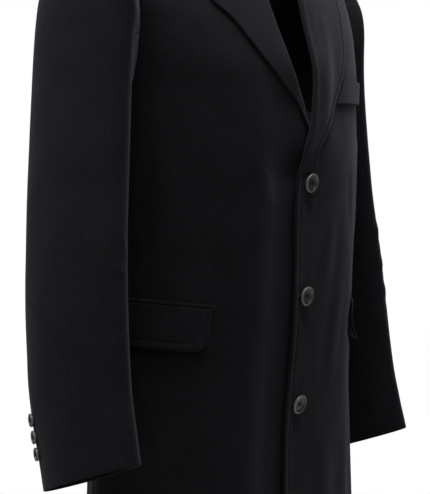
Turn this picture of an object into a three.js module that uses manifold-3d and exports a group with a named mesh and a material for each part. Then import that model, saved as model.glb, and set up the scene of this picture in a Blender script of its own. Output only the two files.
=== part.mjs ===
// A man's single-breasted overcoat, knee length, filled out as it is when worn.
// Millimetres, +Z up, the front faces -Y and the wearer's left is at +X.
// The origin is the middle of the neck opening, level with the tops of the shoulders.
import * as THREE from "three";
import { mergeVertices } from "three/addons/utils/BufferGeometryUtils.js";
import Module from "manifold-3d";

// ---------------------------------------------------------------- driving dimensions
const WALL = 2.5; // coating of the body and the sleeves
const DOUBLED = 3; // two layers pressed together: lapels, collar, flaps
const SEAM = 0.3; // gap between two pieces at a seam
const FOLD_RADIUS = 2.3; // of the middle of the cloth where a lapel or the collar rolls over
const HEM = -1050; // level of the hem
const ARMPIT = -235; // level of the bottom of the armholes
const NECK = 25; // level of the shoulder ridge on the centre line
const SHOULDER = 238; // shoulder point, out from the centre
const SHOULDER_DROP = 47; // fall of the shoulder seam down to that point
const EDGE = 22; // front edge, past the centre line
const BREAK = -324; // level where the lapels begin to roll
const GORGE = -21.8; // level of the gorge seam at the roll line
const NECK_HALF = 70; // half width of the neck opening
const NAPE_DIP = 0.075; // share of the yoke that the back neck is scooped down
const BLOOM = 6; // how far the fronts stand off the chest where the lapels roll over
const FRONT = -1;
const BACK = 1;
const LEFT = 1; // the wearer's left
const RIGHT = -1;

// Sections of the body. "level" is the height on the centre line; front, back and half are the
// distances from the axis, "side" is how far back the side seam lies and "square" the exponent of
// the superelliptic section.
const BODY = [
  { level: HEM, half: 241, front: 110, back: 119, side: 4, square: 2.4 },
  { level: -900, half: 237, front: 108, back: 116, side: 4, square: 2.4 },
  { level: -767, half: 232, front: 108, back: 114, side: 4, square: 2.4 },
  { level: -665, half: 226, front: 112, back: 117, side: 4, square: 2.4 },
  { level: -600, half: 219, front: 116, back: 118, side: 4, square: 2.4 },
  { level: -500, half: 213, front: 126, back: 111, side: 4, square: 2.4 },
  { level: -440, half: 213, front: 129, back: 107, side: 4, square: 2.4 },
  { level: -375, half: 216, front: 132, back: 110, side: 4, square: 2.4 },
  { level: -315, half: 220, front: 135, back: 117, side: 4, square: 2.35 },
  { level: -270, half: 222, front: 134, back: 120, side: 4, square: 2.32 },
  { level: ARMPIT, half: 224, front: 131, back: 122, side: 5, square: 2.36 },
  { level: -194, half: 228, front: 126, back: 125, side: 7, square: 2.5 },
  { level: -150, half: 233, front: 116, back: 127, side: 8, square: 2.7 },
  { level: -107, half: 240, front: 107, back: 127, side: 9, square: 2.8 },
  { level: NECK, half: 262, front: 84, back: 120, side: 15, square: 2.6 },
];

// Soft upright folds: "at" is the angle round the body and "spread" its half width, in degrees;
// each fades out within "fade" of its two ends.
const FOLDS = [
  { face: FRONT, side: LEFT, at: 52, spread: 15, low: -565, high: -492, fade: 34, depth: -7 },
  { face: FRONT, side: LEFT, at: 30, spread: 9, low: -1400, high: -330, fade: 160, depth: 2.5 },
  { face: FRONT, side: RIGHT, at: 64, spread: 9, low: -1400, high: -560, fade: 160, depth: 4 },
  { face: FRONT, side: RIGHT, at: 36, spread: 12, low: -1400, high: -640, fade: 160, depth: -3 },
  { face: BACK, side: RIGHT, at: 30, spread: 12, low: -1400, high: -400, fade: 160, depth: 5 },
  { face: BACK, side: RIGHT, at: 66, spread: 10, low: -1400, high: -560, fade: 160, depth: -4 },
  { face: BACK, side: LEFT, at: 34, spread: 12, low: -1400, high: -430, fade: 160, depth: 5 },
  { face: BACK, side: LEFT, at: 62, spread: 10, low: -1400, high: -600, fade: 160, depth: -4 },
];

// The inner edges of the fronts: below the break the front edge, which swings a little, and above
// it the roll line, where the front turns back into the lapel. x towards the pocket side.
const ROLL = [
  { level: HEM, left: -22, right: -22 },
  { level: -750, left: -20, right: -20 },
  { level: -660, left: -22, right: -22 },
  { level: -565, left: -18.5, right: -18.5 },
  { level: -500, left: -21, right: -21 },
  { level: -440, left: -23, right: -23 },
  { level: -385, left: -25.5, right: -25.5 },
  { level: -350, left: -25, right: -25 },
  { level: BREAK, left: -EDGE, right: -EDGE },
  { level: -310, left: -15, right: -15 },
  { level: -271, left: 1, right: -2 },
  { level: -244, left: 9, right: 9 },
  { level: -217, left: 16, right: 27 },
  { level: -194, left: 20, right: 37 },
  { level: -150, left: 28, right: 42 },
  { level: -107, left: 36, right: 45 },
  { level: -70, left: 43, right: 48 },
  { level: GORGE, left: 53, right: 53 },
  { level: NECK, left: NECK_HALF, right: NECK_HALF },
];

// The lapels' outer edges, from the break up to their points: x towards the pocket side. The left
// lapel spreads wider because the left front lies on top.
const LAPEL = [
  { level: BREAK - 1, left: -14, right: -19 },
  { level: -317, left: 11, right: -14 },
  { level: -288, left: 25, right: -8 },
  { level: -266, left: 43, right: 2 },
  { level: -244, left: 58, right: 18 },
  { level: -222, left: 77, right: 46 },
  { level: -197, left: 96, right: 70 },
  { level: -162, left: 118, right: 97 },
  { level: -130, left: 130, right: 120 },
  { level: -106, left: 138, right: 144 },
  { level: -69, left: 150, right: 150 },
];

// The collar, from the middle of the back (0) to the gorge (1). "foot" is how far back its foot
// lies along the neckline, x and y the free edge of its fall, "bow" how far the line from foot
// to edge bends forward, "rise" the height of the crease above the foot and "upright" how
// steeply it stands.
const COLLAR = [
  { at: 0, foot: 64, x: 0, y: 88, bow: 0, rise: 39, upright: 1 },
  { at: 0.17, foot: 58, x: 47, y: 83, bow: 0, rise: 38, upright: 1 },
  { at: 0.33, foot: 38, x: 88, y: 62, bow: 0, rise: 35, upright: 1 },
  { at: 0.45, foot: 18, x: 110, y: 35, bow: 0, rise: 32, upright: 1 },
  { at: 0.58, foot: -2, x: 124, y: 4, bow: 0, rise: 27, upright: 0.95 },
  { at: 0.7, foot: -20, x: 131, y: -17, bow: 0, rise: 21, upright: 0.75 },
  { at: 0.82, foot: -35, x: 135, y: -34, bow: 0, rise: 14, upright: 0.45 },
  { at: 0.92, foot: -47.5, x: 136, y: -49.5, bow: 0.6, rise: 9, upright: 0.15 },
  { at: 1, foot: -55.7, x: 104, y: -68.3, bow: 1.4, rise: 7, upright: 0 },
];

// The sleeve below its cap, from the cuff up. x and y are the middle of the ring, "deep" and
// "thick" its half sizes from front to back and from side to side, and "slant" how much higher
// its front lies.
const SLEEVE = [
  { z: -705, x: 293, y: -22, deep: 74, thick: 30, slant: 0.29 },
  { z: -660, x: 291, y: -11, deep: 76, thick: 31, slant: 0.23 },
  { z: -610, x: 289, y: 0, deep: 78, thick: 31, slant: 0.16 },
  { z: -520, x: 285, y: 10, deep: 79, thick: 32, slant: 0.07 },
  { z: -430, x: 278, y: 17, deep: 78, thick: 33, slant: 0.02 },
  { z: -350, x: 268, y: 24, deep: 78, thick: 34, slant: 0 },
  { z: -280, x: 261, y: 27, deep: 78, thick: 33, slant: 0 },
];

// How the sleeve leaves the armhole, by height in the yoke: the turn away from the panel's own
// surface in degrees, and the reach of the cap's curve at its start and its end.
const CAP = [
  { rise: 0, turn: 132, start: 9, end: 14 },
  { rise: 0.06, turn: 124, start: 11, end: 26 },
  { rise: 0.12, turn: 116, start: 15, end: 52 },
  { rise: 0.21, turn: 104, start: 22, end: 94 },
  { rise: 0.45, turn: 92, start: 38, end: 162 },
  { rise: 0.57, turn: 82, start: 46, end: 190 },
  { rise: 0.7, turn: 64, start: 52, end: 216 },
  { rise: 0.82, turn: 42, start: 53, end: 231 },
  { rise: 0.9, turn: 26, start: 52, end: 238 },
  { rise: 1, turn: 10, start: 48, end: 240 },
];

// The armhole of a front and of a back: where its lower curve ends, as a share of the yoke, how
// far out it lies there, and how it bends on up to the shoulder point.
const ARMHOLE = {
  [FRONT]: { curve: 0.12, chest: 223.3, bend: 1.2 },
  [BACK]: { curve: 0.3, chest: 203, bend: 1.7 },
};

const FLAP = {
  front: 154, // front end, out from the centre
  level: -503, // top edge at the front end
  length: 150,
  height: 54,
  corner: 19,
  climb: 0.085, // how much the pocket's line rises towards the back
  lean: 0.12, // how much the front end leans back
};
const JET = { height: 5, over: 4 }; // the welt above the flap, and how far it runs past it
const BREAST = { outer: 192, level: -193.3, height: 36, climb: 0.24, clear: 1.6 };
const FRONT_BUTTON = { radius: 12.7, thick: 4, levels: [-343, -489, -629], x: 1.5 };
const CUFF_BUTTON = { radius: 8.6, thick: 3.4, count: 3, first: 41, pitch: 18.8, angle: 58 };
const SIDE_SEAM = 14; // degrees that the side seam runs to the back below the waist
const VENT = { top: -660, under: 38 }; // centre back vent: its top, and the hidden underlap

// ---------------------------------------------------------------- mathematics
const radians = THREE.MathUtils.degToRad;
const ease = THREE.MathUtils.smoothstep;
const mix = THREE.MathUtils.lerp;
const vector = (x, y, z) => new THREE.Vector3(x, y, z);
const range = (count) => Array.from({ length: count + 1 }, (_, i) => i / count);

// A smooth curve through one column of a table, read at a value of its key column.
function read(table, key, at, column) {
  const last = table.length - 1;
  if (at <= table[0][key]) return table[0][column];
  if (at >= table[last][key]) return table[last][column];
  const i = table.findIndex((row) => row[key] > at) - 1;
  const slope = (j) => {
    const [a, b] = [table[Math.max(j - 1, 0)], table[Math.min(j + 1, last)]];
    return (b[column] - a[column]) / (b[key] - a[key]);
  };
  const [a, b] = [table[i], table[i + 1]];
  const span = b[key] - a[key];
  const t = (at - a[key]) / span;
  return (
    a[column] * (1 + 2 * t) * (1 - t) ** 2 +
    slope(i) * span * t * (1 - t) ** 2 +
    b[column] * t * t * (3 - 2 * t) +
    slope(i + 1) * span * t * t * (t - 1)
  );
}

// ---------------------------------------------------------------- the body's surface
function section(level) {
  const rise = Math.max(0, (level - ARMPIT) / (NECK - ARMPIT));
  const size = (column) => read(BODY, "level", level, column);
  return {
    rise,
    half: size("half"),
    front: size("front"),
    back: size("back"),
    side: size("side"),
    power: 2 / size("square"),
    arch: Math.max(0, 1 - rise ** 2.6) ** (1 / 2.2),
  };
}

function foldDepth(face, angle, level) {
  let depth = 0;
  for (const f of FOLDS) {
    if (f.face !== face || f.side !== Math.sign(angle)) continue;
    const off = (Math.abs(angle) - f.at) / f.spread;
    const height = ease(level, f.low, f.low + f.fade) * (1 - ease(level, f.high - f.fade, f.high));
    depth += f.depth * Math.exp(-off * off) * height;
  }
  return depth;
}

// A point of the cloth's outer face. The angle is 0 on the centre line and +-90 at the sides.
function bodyPoint(face, angle, level) {
  if (Math.abs(angle) > 90) return bodyPoint(-face, Math.sign(angle) * 180 - angle, level);
  const s = section(level);
  const turn = radians(angle);
  const x = s.half * Math.sign(angle) * Math.abs(Math.sin(turn)) ** s.power;
  const depth = face === FRONT ? s.front + s.side : s.back - s.side;
  const y = s.side + face * depth * s.arch * Math.max(0, Math.cos(turn)) ** s.power;
  const z = level - (SHOULDER_DROP * s.rise * Math.abs(x)) / SHOULDER;
  const out = foldDepth(face, angle, level);
  return vector(x + out * Math.sin(turn), y + out * face * Math.cos(turn), z);
}

// Along the shoulders and at the sides the normal keeps to one upright plane.
function bodyNormal(face, angle, level) {
  if (Math.abs(angle) > 90) return bodyNormal(-face, Math.sign(angle) * 180 - angle, level);
  const step = 0.4;
  const a = THREE.MathUtils.clamp(angle, -90 + step, 90 - step);
  const l = Math.min(level, NECK - 0.6);
  const across = bodyPoint(face, a + step, l).sub(bodyPoint(face, a - step, l));
  const up = bodyPoint(face, a, l + 0.5).sub(bodyPoint(face, a, l - 0.5));
  const normal = across.cross(up).multiplyScalar(-face);
  if (level >= NECK || Math.abs(angle) >= 90) normal.y = 0;
  return normal.normalize();
}

const angleAt = (level, x) => {
  const s = section(level);
  const share = Math.min(1, Math.abs(x) / s.half);
  return Math.sign(x) * THREE.MathUtils.radToDeg(Math.asin(share ** (1 / s.power)));
};

// How far a front panel lies out of the body's surface where one front laps over the other. The
// left front is outside; above the break the right lapel needs room between the two fronts.
function lap(side, angle, level) {
  const s = section(level);
  const x = s.half * Math.abs(Math.sin(radians(angle))) ** s.power;
  const across = Math.sign(angle) === side ? x : -x;
  const overlap = 1 - ease(level, -262, -190);
  const height = ease(level, BREAK - 20, -262) * (1 - ease(level, -215, -120));
  const bloom = BLOOM * height * (1 - ease(Math.abs(x), 20, 85));
  if (side === LEFT) return bloom + 1.4 * (1 - ease(across, -EDGE, 24)) * overlap;
  const room = 2 * FOLD_RADIUS + DOUBLED + WALL + 0.8;
  const depth = mix(WALL + 0.8, room, ease(level, BREAK - 50, BREAK - 4));
  return bloom - depth * (1 - ease(across, EDGE, EDGE + 75)) * overlap;
}

// A point of the outer face of a panel, moved out by a distance.
function onPanel(side, face, angle, level, out = 0) {
  const lift = face === FRONT ? lap(side, angle, level) : 0;
  const normal = bodyNormal(face, angle, level);
  return bodyPoint(face, angle, level).addScaledVector(normal, lift + out);
}

// ---------------------------------------------------------------- outlines of the panels
function armholeAngle(face, level) {
  const { curve, chest, bend } = ARMHOLE[face];
  const rise = section(level).rise;
  if (rise < curve) {
    const inward = angleAt(ARMPIT + curve * (NECK - ARMPIT), chest);
    return 90 - (90 - inward) * Math.sin(Math.acos(1 - rise / curve));
  }
  const share = (rise - curve) / (1 - curve);
  return angleAt(level, chest + (SHOULDER - chest) * share ** bend);
}

// The side seam runs from the armpit down and back; its angle is counted from the front.
const seamAngle = (level) => 90 + SIDE_SEAM * (1 - ease(level, -440, ARMPIT));

const rollX = (side, level) => read(ROLL, "level", level, side === LEFT ? "left" : "right");
const frontInner = (side, level) => angleAt(level, rollX(side, level));

// How much of the neck opening's half width is open at a level of the back.
function nape(level) {
  const above = (1 - section(level).rise) / NAPE_DIP;
  return above >= 1 ? 0 : Math.sqrt(1 - above ** 2);
}

// The back's inner side: the centre seam, then the scooped neckline.
const backInner = (level) => angleAt(level, NECK_HALF * nape(level));

// Angles evenly spaced along the surface from one angle to another.
function evenAngles(face, level, from, to, count) {
  const fine = range(60).map((t) => mix(from, to, t));
  const length = [0];
  for (let i = 1; i < fine.length; i++) {
    const step = bodyPoint(face, fine[i], level).distanceTo(bodyPoint(face, fine[i - 1], level));
    length.push(length[i - 1] + step);
  }
  const total = length[length.length - 1];
  return range(count).map((share) => {
    const i = Math.min(length.findIndex((l) => l >= share * total - 1e-9), fine.length - 1);
    if (i <= 0) return fine[0];
    return mix(fine[i - 1], fine[i], (share * total - length[i - 1]) / (length[i] - length[i - 1]));
  });
}

// ---------------------------------------------------------------- solids
const indexGrid = (rows, columns, at) => {
  const quads = [];
  for (let r = 0; r + 1 < rows; r++)
    for (let c = 0; c + 1 < columns; c++)
      quads.push([at(r, c), at(r, c + 1), at(r + 1, c + 1), at(r + 1, c)]);
  return quads;
};

function closedGeometry(points, quads) {
  const positions = new Float32Array(points.flatMap((p) => p.toArray()));
  const index = quads.flatMap(([a, b, c, d]) => [a, b, c, a, c, d]);
  let volume = 0;
  for (let i = 0; i < index.length; i += 3) {
    const [a, b, c] = index.slice(i, i + 3).map((j) => points[j]);
    volume += a.dot(b.clone().cross(c));
  }
  if (volume < 0) index.reverse();
  const geometry = new THREE.BufferGeometry();
  geometry.setAttribute("position", new THREE.BufferAttribute(positions, 3));
  geometry.setIndex(index);
  geometry.computeVertexNormals();
  return geometry;
}

// The wall between an outer and an inner grid of points, closed all round its rim.
function wall(outer, inner) {
  const rows = outer.length;
  const columns = outer[0].length;
  const top = (r, c) => r * columns + c;
  const under = (r, c) => rows * columns + top(r, c);
  const quads = [
    ...indexGrid(rows, columns, top),
    ...indexGrid(rows, columns, under).map((q) => q.reverse()),
  ];
  for (let c = 0; c + 1 < columns; c++) {
    quads.push([top(0, c + 1), top(0, c), under(0, c), under(0, c + 1)]);
    const r = rows - 1;
    quads.push([top(r, c), top(r, c + 1), under(r, c + 1), under(r, c)]);
  }
  for (let r = 0; r + 1 < rows; r++) {
    quads.push([top(r, 0), top(r + 1, 0), under(r + 1, 0), under(r, 0)]);
    const c = columns - 1;
    quads.push([top(r + 1, c), top(r, c), under(r, c), under(r + 1, c)]);
  }
  return closedGeometry([...outer.flat(), ...inner.flat()], quads);
}

// Normals of a grid of points. "closed" joins its last column to its first.
function gridNormals(grid, closed = false) {
  const columns = grid[0].length;
  return grid.map((row, r) =>
    row.map((_, c) => {
      const down = grid[Math.max(r - 1, 0)][c];
      const up = grid[Math.min(r + 1, grid.length - 1)][c];
      const before = closed ? row[(c + columns - 1) % columns] : row[Math.max(c - 1, 0)];
      const after = closed ? row[(c + 1) % columns] : row[Math.min(c + 1, columns - 1)];
      return after.clone().sub(before).cross(up.clone().sub(down)).normalize();
    }),
  );
}

// The wall that stands on both sides of a middle surface.
function thicken(grid, thickness) {
  const normals = gridNormals(grid);
  const shifted = (distance) =>
    grid.map((row, r) => row.map((p, c) => p.clone().addScaledVector(normals[r][c], distance)));
  return wall(shifted(thickness / 2), shifted(-thickness / 2));
}

// ---------------------------------------------------------------- materials
const cloth = (name, color) =>
  new THREE.MeshStandardMaterial({ name, color, roughness: 0.95, metalness: 0 });
const coating = cloth("coating", 0x1b1b1e);
const horn = new THREE.MeshStandardMaterial({
  name: "button_horn",
  color: 0x2b2826,
  roughness: 0.3,
  metalness: 0,
});

const coat = new THREE.Group();
function add(name, geometry, material = coating) {
  const mesh = new THREE.Mesh(geometry, material);
  mesh.name = name;
  coat.add(mesh);
  return mesh;
}

// ---------------------------------------------------------------- fronts and backs
const SKIRT_ROWS = [
  HEM, -975, -900, -830, -765, VENT.top - 30, VENT.top, -605, -560, -525, -485, -430, -380,
  -342, BREAK, -297, -266,
];
const YOKE_RISES = [0, 0.02, 0.06, 0.12, 0.21, 0.33, 0.45, 0.57, 0.7, 0.82, 0.9, 0.96, 1];
const YOKE_ROWS = YOKE_RISES.map((rise) => ARMPIT + rise * (NECK - ARMPIT));
const BODY_ROWS = [...SKIRT_ROWS, ...YOKE_ROWS];

// The seams at the side and the shoulder keep half the gap on each panel.
function seamShift(point, face, isSeam) {
  if (isSeam) point.y += (face * SEAM) / 2;
  return point;
}

function frontPanel(side) {
  const columns = 12;
  const faces = [0, -WALL].map((out) =>
    BODY_ROWS.map((level) => {
      const from = frontInner(side, level);
      const to = level <= ARMPIT ? seamAngle(level) : armholeAngle(FRONT, level);
      return evenAngles(FRONT, level, from, to, columns).map((angle, c) => {
        const atSeam = level === NECK || (c === columns && level <= ARMPIT);
        return seamShift(onPanel(side, FRONT, side * angle, level, out), FRONT, atSeam);
      });
    }),
  );
  return wall(...faces);
}

// The right back has the vent's underlap, which lies inside the left back below the vent's top.
function backPanel(side) {
  const columns = 10;
  const faces = [0, -WALL].map((out) =>
    BODY_ROWS.map((level) => {
      const open = side === RIGHT && level < VENT.top;
      const from = open ? angleAt(level, -VENT.under) : backInner(level);
      const to = level <= ARMPIT ? 180 - seamAngle(level) : armholeAngle(BACK, level);
      return evenAngles(BACK, level, from, to, columns).map((angle, c) => {
        const point = bodyPoint(BACK, side * angle, level);
        const fade = 1 - ease(level, VENT.top, VENT.top + 90);
        const sunk = side === RIGHT ? (WALL + 0.9) * ease(point.x, -80, -40) * fade : 0;
        const atSeam = level === NECK || (c === columns && level <= ARMPIT);
        const moved = onPanel(side, BACK, side * angle, level, out - sunk);
        if (c === 0 && !open) moved.x += (side * SEAM) / 2;
        return seamShift(moved, BACK, atSeam);
      });
    }),
  );
  return wall(...faces);
}

add("front_left", frontPanel(LEFT));
add("front_right", frontPanel(RIGHT));
add("back_left", backPanel(LEFT));
add("back_right", backPanel(RIGHT));

// ---------------------------------------------------------------- sleeves
const CAP_COLUMNS = YOKE_RISES.length - 1; // columns from the shoulder point to the armpit
const SLEEVE_COLUMNS = 2 * CAP_COLUMNS;
const CAP_ROWS = 7;
const SLEEVE_TOP = SLEEVE[SLEEVE.length - 1];
const LOWER_ROWS = [-315, -350, -430, -520, -570, -615, -660, -705];

// The armhole's points, from the shoulder point down the front to the armpit and up the back.
function armhole(side) {
  const down = YOKE_ROWS.map((_, i) => YOKE_ROWS[CAP_COLUMNS - i]);
  const stops = [
    ...down.map((level) => ({ face: FRONT, level })),
    ...YOKE_ROWS.slice(1, -1).map((level) => ({ face: BACK, level })),
  ];
  const corner = ({ face, level }) => onPanel(side, face, side * armholeAngle(face, level), level);
  return stops.map((stop, i) => {
    const before = corner(stops[(i + stops.length - 1) % stops.length]);
    const after = corner(stops[(i + 1) % stops.length]);
    const normal = bodyNormal(stop.face, side * armholeAngle(stop.face, stop.level), stop.level);
    const into = after.sub(before).cross(normal).multiplyScalar(-side).normalize();
    return { point: corner(stop), normal, into, rise: section(stop.level).rise };
  });
}

// A point of the sleeve's outer face below the cap, a share of the way round from its outer side
// by the front.
function ringPoint(side, z, share) {
  const size = (column) => read(SLEEVE, "z", z, column);
  const turn = share * 2 * Math.PI;
  const back = -size("deep") * Math.sin(turn);
  const out = size("x") + size("thick") * Math.cos(turn);
  return vector(side * out, size("y") + back, z - size("slant") * back);
}

function sleeveGrids(side) {
  const hole = armhole(side);
  const columns = hole.map((h, c) => {
    const cap = (column) => read(CAP, "rise", h.rise, column);
    const turn = radians(cap("turn"));
    const leave = h.into
      .clone()
      .multiplyScalar(Math.cos(turn))
      .addScaledVector(h.normal, Math.sin(turn));
    const rim = h.into
      .clone()
      .multiplyScalar(Math.sin(turn))
      .addScaledVector(h.normal, -Math.cos(turn));
    const start = h.point.clone().addScaledVector(h.into, SEAM).addScaledVector(h.normal, 0.15);
    const share = c / SLEEVE_COLUMNS;
    const end = ringPoint(side, SLEEVE_TOP.z, share);
    const below = ringPoint(side, SLEEVE_TOP.z - 30, share);
    const curve = new THREE.CubicBezierCurve3(
      start,
      start.clone().addScaledVector(leave, cap("start")),
      end.clone().addScaledVector(end.clone().sub(below).normalize(), cap("end")),
      end,
    );
    const path = range(CAP_ROWS).map((t) => curve.getPoint(t));
    path.push(...LOWER_ROWS.map((z) => ringPoint(side, z, share)));
    return { path, rim };
  });
  const outer = columns[0].path.map((_, r) => columns.map((column) => column.path[r]));
  const normals = gridNormals(outer, true);
  const inner = outer.map((row, r) =>
    row.map((p, c) => {
      if (r === 0) return p.clone().addScaledVector(columns[c].rim, WALL);
      return p.clone().addScaledVector(normals[r][c], -side * WALL);
    }),
  );
  return { outer, inner };
}

// A strip of the sleeve between two of its columns, with half a seam's gap left at each.
function sleevePiece({ outer, inner }, first, last) {
  const cut = (grid) =>
    grid.map((row) => {
      const at = (c) => row[(c + SLEEVE_COLUMNS) % SLEEVE_COLUMNS].clone();
      const strip = range(last - first).map((t) => at(first + Math.round(t * (last - first))));
      const nudge = (i, towards) => {
        const step = at(towards).sub(strip[i]).normalize();
        strip[i].addScaledVector(step, SEAM / 2);
      };
      nudge(0, first + 1);
      nudge(last - first, last - 1);
      return strip;
    });
  return wall(cut(outer), cut(inner));
}

const FRONT_SEAM = 7; // columns of the sleeve where its two pieces meet
const BACK_SEAM = 18;
for (const [side, word] of [[LEFT, "left"], [RIGHT, "right"]]) {
  const grids = sleeveGrids(side);
  add("sleeve_upper_" + word, sleevePiece(grids, BACK_SEAM - SLEEVE_COLUMNS, FRONT_SEAM));
  add("sleeve_under_" + word, sleevePiece(grids, FRONT_SEAM, BACK_SEAM));
}

// ---------------------------------------------------------------- lapels
const LAPEL_ROWS = BODY_ROWS.filter((level) => level >= BREAK && level <= GORGE + 0.1);
const lapelTop = LAPEL[LAPEL.length - 1].level;

// The middle surface of a lapel: round the roll, then out over the front to its edge.
function lapelGrid(side, word) {
  const across = [0.06, 0.25, 0.5, 0.75, 1];
  return LAPEL_ROWS.map((level) => {
    const rollPoint = (l) => onPanel(side, FRONT, side * frontInner(side, l), l);
    const start = rollPoint(level);
    const along = rollPoint(level + 4).sub(rollPoint(level - 4));
    const normal = bodyNormal(FRONT, side * frontInner(side, level), level);
    const outward = normal.clone().cross(along).multiplyScalar(-side).normalize();
    const beside = (back, out) =>
      start.clone().addScaledVector(outward, -back).addScaledVector(normal, out - DOUBLED / 2);
    const fold = range(4).map((t) => {
      const turn = Math.PI * (t - 0.5);
      return beside(1 + FOLD_RADIUS * Math.cos(turn), FOLD_RADIUS * (1 + Math.sin(turn)));
    });
    const up = (level - BREAK) / (GORGE - BREAK);
    const edgeLevel = mix(BREAK - 1, lapelTop, up);
    const edgeX = read(LAPEL, "level", edgeLevel, word);
    const flat = across.map((u) => {
      const l = mix(level, edgeLevel, u);
      const angle = side * angleAt(l, mix(rollX(side, level), edgeX, u));
      const lift = mix(2 * FOLD_RADIUS - DOUBLED / 2, DOUBLED / 2 + 1, ease(u, 0, 1));
      return onPanel(side, FRONT, angle, l, lift);
    });
    return [beside(SEAM, 0), ...fold, ...flat];
  });
}
add("lapel_left", thicken(lapelGrid(LEFT, "left"), DOUBLED));
add("lapel_right", thicken(lapelGrid(RIGHT, "right"), DOUBLED));

// ---------------------------------------------------------------- collar
// The value between two others where a rising or falling function of it reaches a target.
function solve(f, low, high, target) {
  const rising = f(high) > f(low);
  for (let i = 0; i < 40; i++) {
    const middle = (low + high) / 2;
    if (f(middle) < target === rising) low = middle;
    else high = middle;
  }
  return (low + high) / 2;
}

const ridge = section(NECK).side;
const neckX = (face, level) =>
  face === FRONT ? rollX(LEFT, level) : NECK_HALF * nape(level);

// A place on the yoke a given distance back. Its x is given, or else it lies on the neckline.
function yokePlace(y, x) {
  const face = y < ridge ? FRONT : BACK;
  const lowest = x !== undefined || face === FRONT ? ARMPIT : NECK - NAPE_DIP * (NECK - ARMPIT);
  const across = (level) => x ?? neckX(face, level);
  const back = (level) => bodyPoint(face, angleAt(level, across(level)), level).y;
  const level = solve(back, lowest, NECK, y);
  return { face, level, angle: angleAt(level, across(level)) };
}

function raised({ face, level, angle }, out, upright) {
  const direction = bodyNormal(face, angle, level).multiplyScalar(1 - upright);
  direction.z += upright;
  return bodyPoint(face, angle, level).addScaledVector(direction.normalize(), out);
}

// One section of the collar, from its foot up the stand, over the crease and down the fall.
function collarStation(at) {
  const c = (column) => read(COLLAR, "at", at, column);
  const upright = c("upright");
  const place = yokePlace(c("foot"));
  const edge = yokePlace(c("y"), c("x"));
  const foot = raised(place, 0, 0);
  const top = raised(place, 1, upright).sub(foot);
  const outward = raised(edge, 0, 0).sub(foot);
  outward.addScaledVector(top, -outward.dot(top)).normalize();
  const low = 0.7 + (1 - upright) * (DOUBLED / 2);
  const bend = Math.max(c("rise") - FOLD_RADIUS, low + 0.8);
  const beside = (out, up) =>
    foot.clone().addScaledVector(top, up).addScaledVector(outward, out - 0.5);
  const lean = FOLD_RADIUS * (1 - upright);
  const stand = [0, 0.5].map((t) => beside(-lean, mix(low, bend, t)));
  const crease = range(4).map((t) => {
    const turn = Math.PI * t;
    return beside(FOLD_RADIUS * (upright - Math.cos(turn)), bend + FOLD_RADIUS * Math.sin(turn));
  });
  const start = { x: bodyPoint(place.face, place.angle, place.level).x, y: c("foot") };
  const fall = [0.25, 0.5, 0.75, 1].map((u) => {
    const y = mix(start.y, c("y"), u) - c("bow") * 4 * u * (1 - u);
    const spot = yokePlace(y, mix(start.x, c("x"), u));
    return raised(spot, mix(bend, DOUBLED / 2 + 1.4, u), upright * (1 - u));
  });
  return [...stand, ...crease, ...fall];
}

const collarHalf = range(16).map((t) => collarStation(t));
const mirrored = collarHalf.slice(1).map((row) => row.map((p) => vector(-p.x, p.y, p.z)));
add("collar", thicken([...mirrored.reverse(), ...collarHalf], DOUBLED));

// ---------------------------------------------------------------- pockets
// The angle on a front at a distance back from x, along the surface.
function walkBack(level, x, distance) {
  let angle = angleAt(level, x);
  let gone = 0;
  const step = distance < 0 ? -0.5 : 0.5;
  while (gone < Math.abs(distance)) {
    const next = angle + step;
    const length = bodyPoint(FRONT, next, level).distanceTo(bodyPoint(FRONT, angle, level));
    if (gone + length > Math.abs(distance)) {
      return angle + (step * (Math.abs(distance) - gone)) / length;
    }
    gone += length;
    angle = next;
  }
  return angle;
}

function pocketStrip(side, stops, shares, place, low, high) {
  const face = (out) =>
    shares.map((down) =>
      stops.map((along) => {
        const { angle, level } = place(along, down);
        return onPanel(side, FRONT, side * angle, level, out(down));
      }),
    );
  return wall(face(high), face(low));
}

function flapPlace(along, down) {
  const { corner, length, height, climb, lean } = FLAP;
  const near = Math.min(along, length - along);
  const cut = near < corner ? corner - Math.sqrt(corner ** 2 - (corner - near) ** 2) : 0;
  const drop = down * (height - cut);
  const level = FLAP.level + climb * along - drop;
  return { level, angle: walkBack(level, FLAP.front, along + lean * drop * (1 - along / length)) };
}

function jetPlace(along, down) {
  const level = FLAP.level + SEAM + JET.height * (1 - down) + FLAP.climb * along;
  return { level, angle: walkBack(level, FLAP.front, along) };
}

function addHipPocket(side, word) {
  const { corner, length } = FLAP;
  const bends = [0, 0.12, 0.45, 1].map((t) => t * corner);
  const middle = range(7).slice(1, -1).map((t) => mix(corner, length - corner, t));
  const stops = [...bends, ...middle, ...bends.map((b) => length - b).reverse()];
  const flapLow = (down) => 1 + (side === LEFT ? 7 : 3) * down;
  const flapHigh = (down) => flapLow(down) + DOUBLED;
  add("flap_" + word, pocketStrip(side, stops, range(4), flapPlace, flapLow, flapHigh));
  const jetStops = range(12).map((t) => mix(-JET.over, length + JET.over, t));
  const [jetLow, jetHigh] = [() => 0.6, () => 0.6 + WALL];
  add("jet_" + word, pocketStrip(side, jetStops, range(2), jetPlace, jetLow, jetHigh));
}
addHipPocket(LEFT, "left");
addHipPocket(RIGHT, "right");

// The breast welt runs from the lapel's edge out towards the armhole.
function breastPlace(along, down) {
  const low = BREAST.level - BREAST.height * down;
  const level = low - BREAST.climb * BREAST.height * (1 - along);
  const x = mix(read(LAPEL, "level", level, "left") + BREAST.clear, BREAST.outer, along);
  return { level, angle: angleAt(level, x) };
}
add(
  "breast_welt",
  pocketStrip(LEFT, range(7), range(3), breastPlace, () => 0.8, () => 0.8 + DOUBLED),
);

// ---------------------------------------------------------------- buttons
const wasm = await Module();
wasm.setup();

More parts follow.
